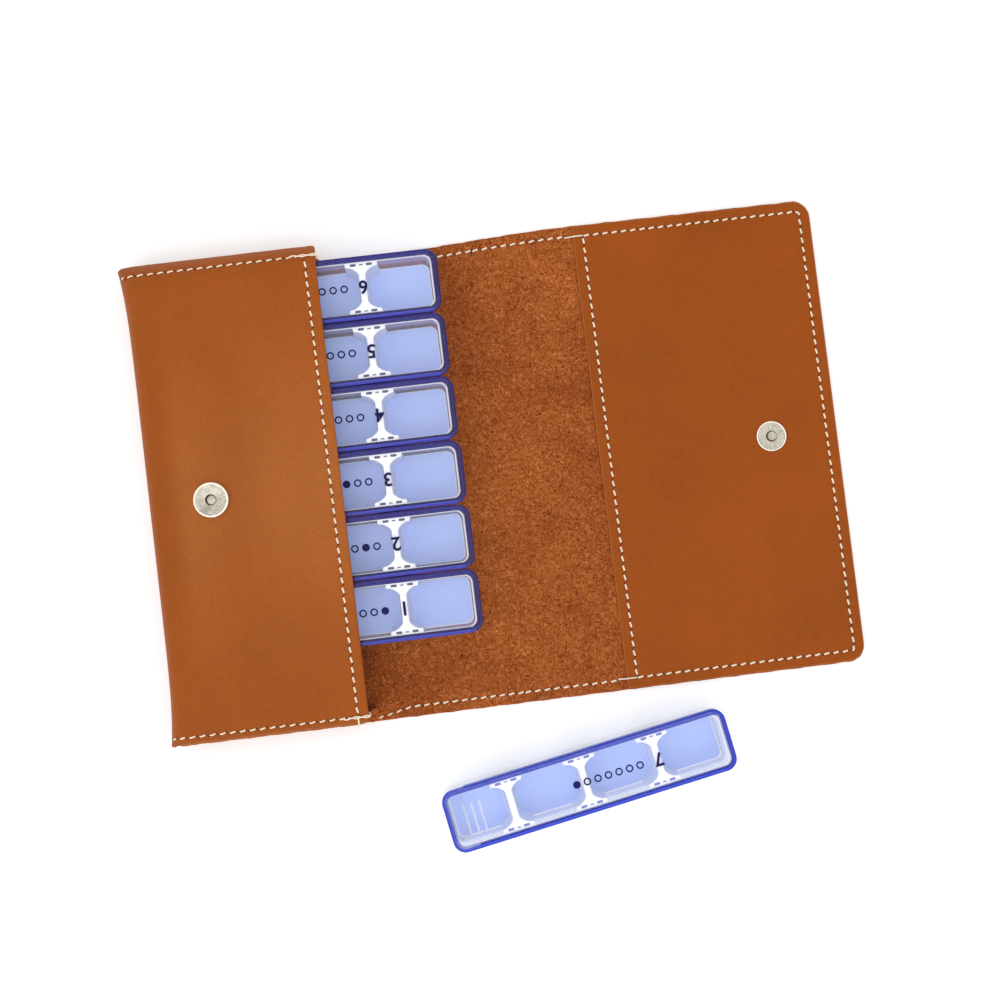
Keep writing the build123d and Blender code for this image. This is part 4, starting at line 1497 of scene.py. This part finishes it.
class ORGANIZER_OT_seams(bpy.types.Operator):
    """Sew the cover and the facing: stitches, needle holes and the turns of thread at the mouth"""

    bl_idname = "organizer.seams"
    bl_label = "Seams"

    SETTLED = {1: CREASE_X - 0.012, -1: MOUTH_X + 0.006}
    SETTLE_BEFORE, SETTLE_AFTER = 0.006, 0.012
    INSIDE_START = MOUTH_X + 0.0012
    CORNER_STEPS = 8
    RUN_POINTS, TURN_POINTS, TAIL_POINTS = 34, 12, 5

    def execute(self, context):
        sizes, seam = settings(context).wallet, settings(context).seam
        cover = Cover(sizes)
        inset, lift = seam.inset, LEATHER / 2
        middle, facing = cover.at(MID_SPINE_X), cover.at(FACING_LOW[0])
        bend = sizes.bend_reach

        pocket = Maker()
        low, high = [cover.seam(inset, side, inset) for side in (-1, 1)]
        across = np.array([[inset, 0.3 * seam.pitch - low], [inset, high - 0.5 * seam.pitch]])
        sew(pocket, cover.point, across, lift, seam, lean_way=-1)
        for side, settled in self.SETTLED.items():
            outside = edge_line(cover, seam.tack, middle, inset, side)
            sew(pocket, cover.point, outside, lift, seam, lean_way=-1)
            inside = edge_line(cover, cover.at(self.INSIDE_START), middle, inset, side)
            begin, settle = cover.at(settled - self.SETTLE_BEFORE), cover.at(settled + self.SETTLE_AFTER)
            spread = smooth_step(inside[:, 0], begin, settle)
            inside[:, 1] += side * inset * (1 - seam.converge) * (1 - spread)
            sew(pocket, cover.point, inside, lift, seam, side=-1)
            self.tack(pocket, cover, seam, side)
        made = pocket.piece("pocket_stitching", finishes(SEAM_COATS))
        bridge(made, ("case", "spine"), CREASE_X, bend, "thread", "pocket_thread", "back_thread")

        flap = Maker()
        for side in (1, -1):
            inside = edge_line(cover, middle, facing - seam.pitch, inset, side)
            sew(flap, cover.point, inside, lift, seam, side=-1)
            sew(flap, cover.point, inside, lift, seam, lean_way=-1)
            self.step_up(flap, seam, side)
        for line in self.facing_lines(sizes, seam):
            sew(flap, self.on_facing, line, 0.0, seam)
            sew(flap, self.under_flap, line, 0.0, seam)
        made = flap.piece("flap_stitching", finishes(SEAM_COATS))
        bridge(made, ("spine", "flap"), SECOND_CREASE_X, bend, "thread", "spine_thread", "flap_thread")
        return {"FINISHED"}

    def facing_lines(self, sizes, seam):
        """Two stitch lines of the facing: round its three outer sides, and straight along its inner edge."""
        start, (end, reach) = FACING_LOW[0] + seam.inset, FACING_HIGH[:2] - seam.inset
        steps, corner = self.CORNER_STEPS, 0.4 * (sizes.flap_corner - seam.inset)
        loop = rounded_rectangle(2 * (end - start), 2 * reach, corner, steps)
        outer = np.concatenate([loop[-steps - 1:], loop[:steps + 1]]) + [start, 0]
        inner = np.array([[start, -reach], [start, reach]])
        return np.concatenate([inner[:1], outer, inner[1:]]), inner + [[0, seam.thread], [0, -seam.thread]]

    def on_facing(self, x, y, lift):
        """A point over the facing."""
        return np.stack(np.broadcast_arrays(x, y, FACING_HIGH[2] + lift), -1)

    def under_flap(self, x, y, lift):
        """A point under the flap."""
        return np.stack(np.broadcast_arrays(x, y, FLAP_LOW[2] - lift), -1)

    def step_up(self, maker, seam, side):
        """One long stitch from the flap's rough side up over the facing's edge to its corner."""
        edge, low, high = FACING_LOW[0], FLAP_HIGH[2], FACING_HIGH[2]
        before = edge + seam.pitch * np.array([-0.9, -0.6, -0.1, 0.2])
        after = edge + seam.inset - seam.thread * np.array([0.6, 0.2])
        x = np.concatenate([before, after])
        z = np.array([low, low, high, high, high, high]) + seam.thread * np.array([0, 0.3, 0, 0.25, 0.2, 0])
        y = np.full(len(x), side * (FACING_HIGH[1] - seam.inset))
        self.thread(maker, seam, np.stack([x, y, z], -1), (0, 1, 0))

    def tack(self, maker, cover, seam, side):
        """The end of an edge seam, sewn twice: thread woven to and fro along it and turned round the mouth.

        On the near side one turn goes round the edge as well.
        """
        runs, turns, tail = self.RUN_POINTS, self.TURN_POINTS, self.TAIL_POINTS
        lift = LEATHER / 2 + 0.2 * seam.thread
        swing = np.linspace(0, np.pi, turns)
        line_y = cover.seam(seam.inset, side, seam.inset)
        for shift in (0.24, -0.24):
            run = np.linspace(1, 0, runs) * (seam.tack + shift * seam.pitch)
            weave = shift * seam.thread * (1 + np.sin(2 * np.pi * run / seam.pitch))
            back = 0.4 * seam.inset * np.linspace(0, 1, tail)
            s = np.concatenate([run, -0.7 * seam.thread * np.sin(swing), back])
            y = line_y + np.concatenate([weave, np.full(turns + tail, weave[-1])])
            height = np.concatenate([np.full(runs, lift), lift * np.cos(swing), np.full(tail, -lift)])
            self.thread(maker, seam, cover.point(s, side * y, height), (0, 1, 0))
        if side < 0:
            y = line_y + (seam.inset + seam.thread) * np.sin(swing)
            drift = seam.inset + 0.1 * seam.inset * swing
            turned = cover.point(drift, side * y, lift * np.cos(swing) - 0.5 * seam.thread * np.sin(swing))
            self.thread(maker, seam, turned, unit(turned - turned.mean(axis=0)))

    def thread(self, maker, seam, line, normals):
        """A thread along a line of points, with points closer than a tenth of its width left out."""
        apart = np.linalg.norm(np.diff(line, axis=0), axis=1) > 0.1 * seam.thread
        kept = np.concatenate([[True], apart])
        normals = np.broadcast_to(normals, line.shape)[kept]
        half_width, half_height = 0.45 * seam.thread, 0.4 * seam.thread
        maker.tubes(line[kept][None], normals[None], half_width, half_height, np.ones(kept.sum()), THREAD)


class ORGANIZER_OT_snap(bpy.types.Operator):
    """Make the two halves of the magnetic snap"""

    bl_idname = "organizer.snap"
    bl_label = "Magnetic snap"

    def execute(self, context):
        sizes = settings(context).snap
        self.socket(sizes)
        self.stud(sizes)
        return {"FINISHED"}

    def socket(self, sizes):
        """The socket on the pocket: a bevelled cup with a round hole, and the magnet in it."""
        radius = (SOCKET_HIGH[1] - SOCKET_LOW[1]) / 2
        node = frame["nodes"]["snap_socket_case"].data
        points = np.empty(len(node.vertices) * 3)
        node.vertices.foreach_get("co", points)
        centre = (SOCKET_LOW + SOCKET_HIGH) / 2
        where = Matrix.Translation(Vector(centre)) @ Matrix.Rotation(-FRONT_SLOPE, 4, "Y")
        height = np.ptp((points.reshape(-1, 3) - centre) @ np.array(where.to_3x3())[:, 2])
        low, top = -height / 2, height / 2
        bevel, hole = sizes.bevel, sizes.recess
        deep = top - sizes.recess_depth
        face = top - 0.15 * bevel
        outside = [
            (radius - 0.5 * bevel, low), (radius, low + 0.5 * bevel),
            *arc(radius - bevel, top - bevel, bevel, 0, 90), (radius - 1.25 * bevel, face),
        ]
        inside = [(hole + 0.3 * bevel, face), (hole, face - 0.2 * bevel), (hole, deep)]
        # The rim's bands take the bright nickel as a painted highlight; the hole's wall and bottom take the
        # dark hollow colour as painted shade.
        bands = [RIM] * (len(outside) - 1) + [FACE, FACE, HOLLOW]
        made = turned_piece("snap_socket_cup", SNAP_COATS, where, outside + inside, bands)
        dress(made, "case", "nickel", "snap_socket_case")
        core, crown = sizes.core, deep + sizes.core_height
        button = [(core, deep - 0.1 * bevel), (core, crown - 0.1 * bevel), (0.9 * core, crown)]
        made = turned_piece("snap_magnet_face", ["worn_nickel"], where, button)
        dress(made, "case", "magnet", "snap_socket_magnet")

    def stud(self, sizes):
        """The stud on the flap: a plate with a raised rim, and a low post with a ring round it."""
        centre = (STUD_LOW + STUD_HIGH) / 2
        where = Matrix.Translation((centre[0], centre[1], FACING_HIGH[2]))
        radius = (STUD_HIGH[0] - STUD_LOW[0]) / 2
        top = STUD_HIGH[2] - FACING_HIGH[2]
        rim = sizes.stud_rim
        face = top - 0.4 * rim
        post = (POST_HIGH[1] - POST_LOW[1]) / 2
        ring = post + sizes.pin_ring
        outside = [
            (radius - 0.3 * rim, 0.0), (radius, 0.3 * rim),
            *arc(radius - rim / 2, top - rim / 2, rim / 2, 0, 180, 9), (radius - rim, face),
        ]
        # The rim's bands take the bright nickel as a painted highlight; the groove round the post takes the
        # dark hollow colour as painted shade.
        bands = [RIM] * (len(outside) - 1) + [FACE, HOLLOW]
        profile = [*outside, (ring, face), (ring, 0.6 * face)]
        made = turned_piece("snap_stud_disc", SNAP_COATS, where, profile, bands)
        dress(made, "flap", "nickel", "snap_stud_plate")
        tip, bevel = POST_HIGH[2] - FACING_HIGH[2], 0.22 * post
        pin = [
            (post, 0.0), *arc(post - bevel, tip - bevel, bevel, 0, 90),
            (0.62 * post, tip), (0.56 * post, tip - 0.12 * post),
        ]
        made = turned_piece("snap_stud_pin", ["worn_nickel"], where, pin)
        dress(made, "flap", "nickel", "snap_stud_post")


class ORGANIZER_OT_trays(bpy.types.Operator):
    """Make the seven day trays"""

    bl_idname = "organizer.trays"
    bl_label = "Day trays"

    def execute(self, context):
        maker = Maker()
        add_tray(maker, settings(context).strip)
        coats = finishes(TRAY_COATS)
        # Painted light: a share from the bay's -Y side to its +Y side, by which the floors are lighter towards
        # +Y.
        across = 0.5 + maker.points[:, 1] / TRAY_WIDTH
        for day in DAYS:
            tints = {"across": across, "loose": np.full(len(across), is_loose(day))}
            made = maker.piece(f"tray_{day}", coats, strip_place(day), tints)
            dress(made, f"strip_{day}", "tray_plastic", f"day_{day}_tray")
        return {"FINISHED"}


class ORGANIZER_OT_lids(bpy.types.Operator):
    """Make the seven sliding lids with their printed marks"""

    bl_idname = "organizer.lids"
    bl_label = "Day lids"

    def execute(self, context):
        sizes = settings(context).strip
        lid = Maker()
        add_lid(lid, sizes)
        deep, thin, streaks = lid_tints(lid.points, sizes)
        for day in DAYS:
            where = strip_place(day)
            loose = is_loose(day)
            # A strip out of the wallet gets a shallower, paler blue: painted light from the white table.
            blue = {
                "deep_share": deep * (sizes.loose_depth if loose else 1.0),
                "thin_share": thin * (1.0 if loose else sizes.wallet_thin),
                "loose": np.full(len(deep), loose),
                "streaks": streaks,
            }
            made = lid.piece(f"lid_{day}", finishes(LID_COATS), where, blue)
            dress(made, f"lid_{day}", "lid_plastic", f"day_{day}_lid")
            mark = Maker()
            add_mark(mark, sizes, day)
            printed = mark.piece(f"lid_{day}_mark", finishes(["day_ink"]), where)
            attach(printed, f"lid_{day}")
        return {"FINISHED"}


class ORGANIZER_OT_stage(bpy.types.Operator):
    """Set up the floor, the soft light and the camera"""

    bl_idname = "organizer.stage"
    bl_label = "Stage"

    WHITE = (1.0, 1.0, 1.0, 1.0)
    SENSOR_WIDTH = 36.0
    CLIP_START, CLIP_END = 0.01, 50.0

    def execute(self, context):
        sizes = settings(context).stage
        scene = context.scene
        scene.view_settings.view_transform = "Standard"
        self.floor(sizes)
        self.sky(scene, sizes)
        self.lamp(scene, sizes)
        self.camera(scene, sizes)
        return {"FINISHED"}

    def floor(self, sizes):
        """A wide flat floor, just under the wallet, that keeps its shadow."""
        maker = Maker()
        line = np.linspace(-sizes.floor_reach, sizes.floor_reach, 3)
        grid = np.stack([*np.meshgrid(line, line), np.full((3, 3), CAD_BOX[0][2] - sizes.floor_gap)], -1)
        maker.add(grid, (grid_faces(3, 3), 0))
        material = bpy.data.materials.new("pale_floor")
        material.use_nodes = True
        shader = material.node_tree.nodes["Principled BSDF"]
        feed(material.node_tree, shader, {
            "Base Color": self.WHITE, "Roughness": 1.0, "Specular IOR Level": 0.0,
            "Emission Color": self.WHITE, "Emission Strength": sizes.floor_glow,
        })
        self.fade(material.node_tree, shader, sizes)
        maker.piece("floor", [material])

    def fade(self, tree, shader, sizes):
        """Lets the floor, where it is seen, turn white with the distance from the middle."""
        where = add_node(tree, "ShaderNodeTexCoord").outputs["Object"]
        away = add_node(tree, "ShaderNodeVectorMath", {0: where}, operation="LENGTH").outputs["Value"]
        far = add_node(
            tree, "ShaderNodeMapRange",
            {"Value": away, "From Min": sizes.fade_start, "From Max": sizes.fade_end},
            interpolation_type="SMOOTHSTEP",
        ).outputs["Result"]
        part = compute(tree, "MULTIPLY", far, self.seen(tree))
        white = add_node(tree, "ShaderNodeEmission", {"Color": self.WHITE, "Strength": 1.0}).outputs[0]
        mix = add_node(tree, "ShaderNodeMixShader", {0: part, 1: shader.outputs[0], 2: white})
        feed(tree, tree.nodes["Material Output"], {"Surface": mix.outputs[0]})

    def seen(self, tree):
        """One on rays that show what they meet: straight, mirrored or through clear plastic."""
        rays = add_node(tree, "ShaderNodeLightPath").outputs
        bent = compute(tree, "MAXIMUM", rays["Is Glossy Ray"], rays["Is Transmission Ray"])
        return compute(tree, "MAXIMUM", rays["Is Camera Ray"], bent)

    def sky(self, scene, sizes):
        """An even sky: white where it is seen, and softer where it lights."""
        world = bpy.data.worlds.new("soft_sky")
        scene.world = world
        world.use_nodes = True
        tree = world.node_tree
        tree.nodes.clear()
        light, white = [
            add_node(tree, "ShaderNodeBackground", {"Color": self.WHITE, "Strength": strength}).outputs[0]
            for strength in (sizes.sky, 1.0)
        ]
        mix = add_node(tree, "ShaderNodeMixShader", {0: self.seen(tree), 1: light, 2: white})
        add_node(tree, "ShaderNodeOutputWorld", {"Surface": mix.outputs[0]})

    def lamp(self, scene, sizes):
        """One large square lamp overhead, turned to the middle of the wallet."""
        data = bpy.data.lights.new("overhead", "AREA")
        data.shape = "SQUARE"
        data.size = sizes.lamp_size
        data.energy = sizes.lamp_power
        made = bpy.data.objects.new("overhead", data)
        made.location = sizes.lamp_place
        aim = Vector(sizes.camera_target) - Vector(sizes.lamp_place)
        made.rotation_euler = aim.to_track_quat("-Z", "Y").to_euler()
        scene.collection.objects.link(made)

    def camera(self, scene, sizes):
        """The camera over the table, turned about its own view."""
        data = bpy.data.cameras.new("camera")
        data.sensor_width = self.SENSOR_WIDTH
        data.lens = sizes.camera_lens
        data.clip_start, data.clip_end = self.CLIP_START, self.CLIP_END
        made = bpy.data.objects.new("camera", data)
        ahead = (Vector(sizes.camera_target) - Vector(sizes.camera_place)).normalized()
        right = ahead.cross(Vector((0, 1, 0))).normalized()
        up = Matrix.Rotation(sizes.camera_roll, 3, ahead) @ right.cross(ahead)
        right = ahead.cross(up)
        turned = Matrix((right, up, -ahead)).transposed().to_4x4()
        made.matrix_world = Matrix.Translation(sizes.camera_place) @ turned
        scene.collection.objects.link(made)
        scene.camera = made


class ORGANIZER_PT_panel(bpy.types.Panel):
    """Lists the organizer's pieces and settings"""

    bl_idname = "ORGANIZER_PT_panel"
    bl_label = "Pill organizer"
    bl_space_type = "VIEW_3D"
    bl_region_type = "UI"
    bl_category = "Organizer"

    def draw(self, context):
        for operator in OPERATORS:
            self.layout.operator(operator.bl_idname)
        chosen = settings(context)
        for group in ("wallet", "seam", "strip", "snap", "finish", "stage"):
            box = self.layout.box()
            part = getattr(chosen, group)
            box.label(text=type(part).__doc__)
            for name in part.bl_rna.properties.keys():
                if name not in ("rna_type", "name"):
                    box.prop(part, name)


GROUPS = (WalletSizes, SeamSizes, StripSizes, SnapSizes, Finishes, StageSizes, OrganizerSettings)
OPERATORS = (
    ORGANIZER_OT_finishes,
    ORGANIZER_OT_stage,
    ORGANIZER_OT_cover,
    ORGANIZER_OT_facing,
    ORGANIZER_OT_gussets,
    ORGANIZER_OT_seams,
    ORGANIZER_OT_snap,
    ORGANIZER_OT_trays,
    ORGANIZER_OT_lids,
)


def register():
    """Adds the classes and the scene's settings."""
    for item in (*GROUPS, *OPERATORS, ORGANIZER_PT_panel):
        bpy.utils.register_class(item)
    bpy.types.Scene.organizer = bpy.props.PointerProperty(type=OrganizerSettings)


def unregister():
    """Takes the classes and the settings away again."""
    del bpy.types.Scene.organizer
    for item in reversed((*GROUPS, *OPERATORS, ORGANIZER_PT_panel)):
        bpy.utils.unregister_class(item)


def main():
    """Builds every piece in order."""
    register()
    for operator in OPERATORS:
        group, name = operator.bl_idname.split(".")
        getattr(getattr(bpy.ops, group), name)()


if __name__ == "__main__":
    main()
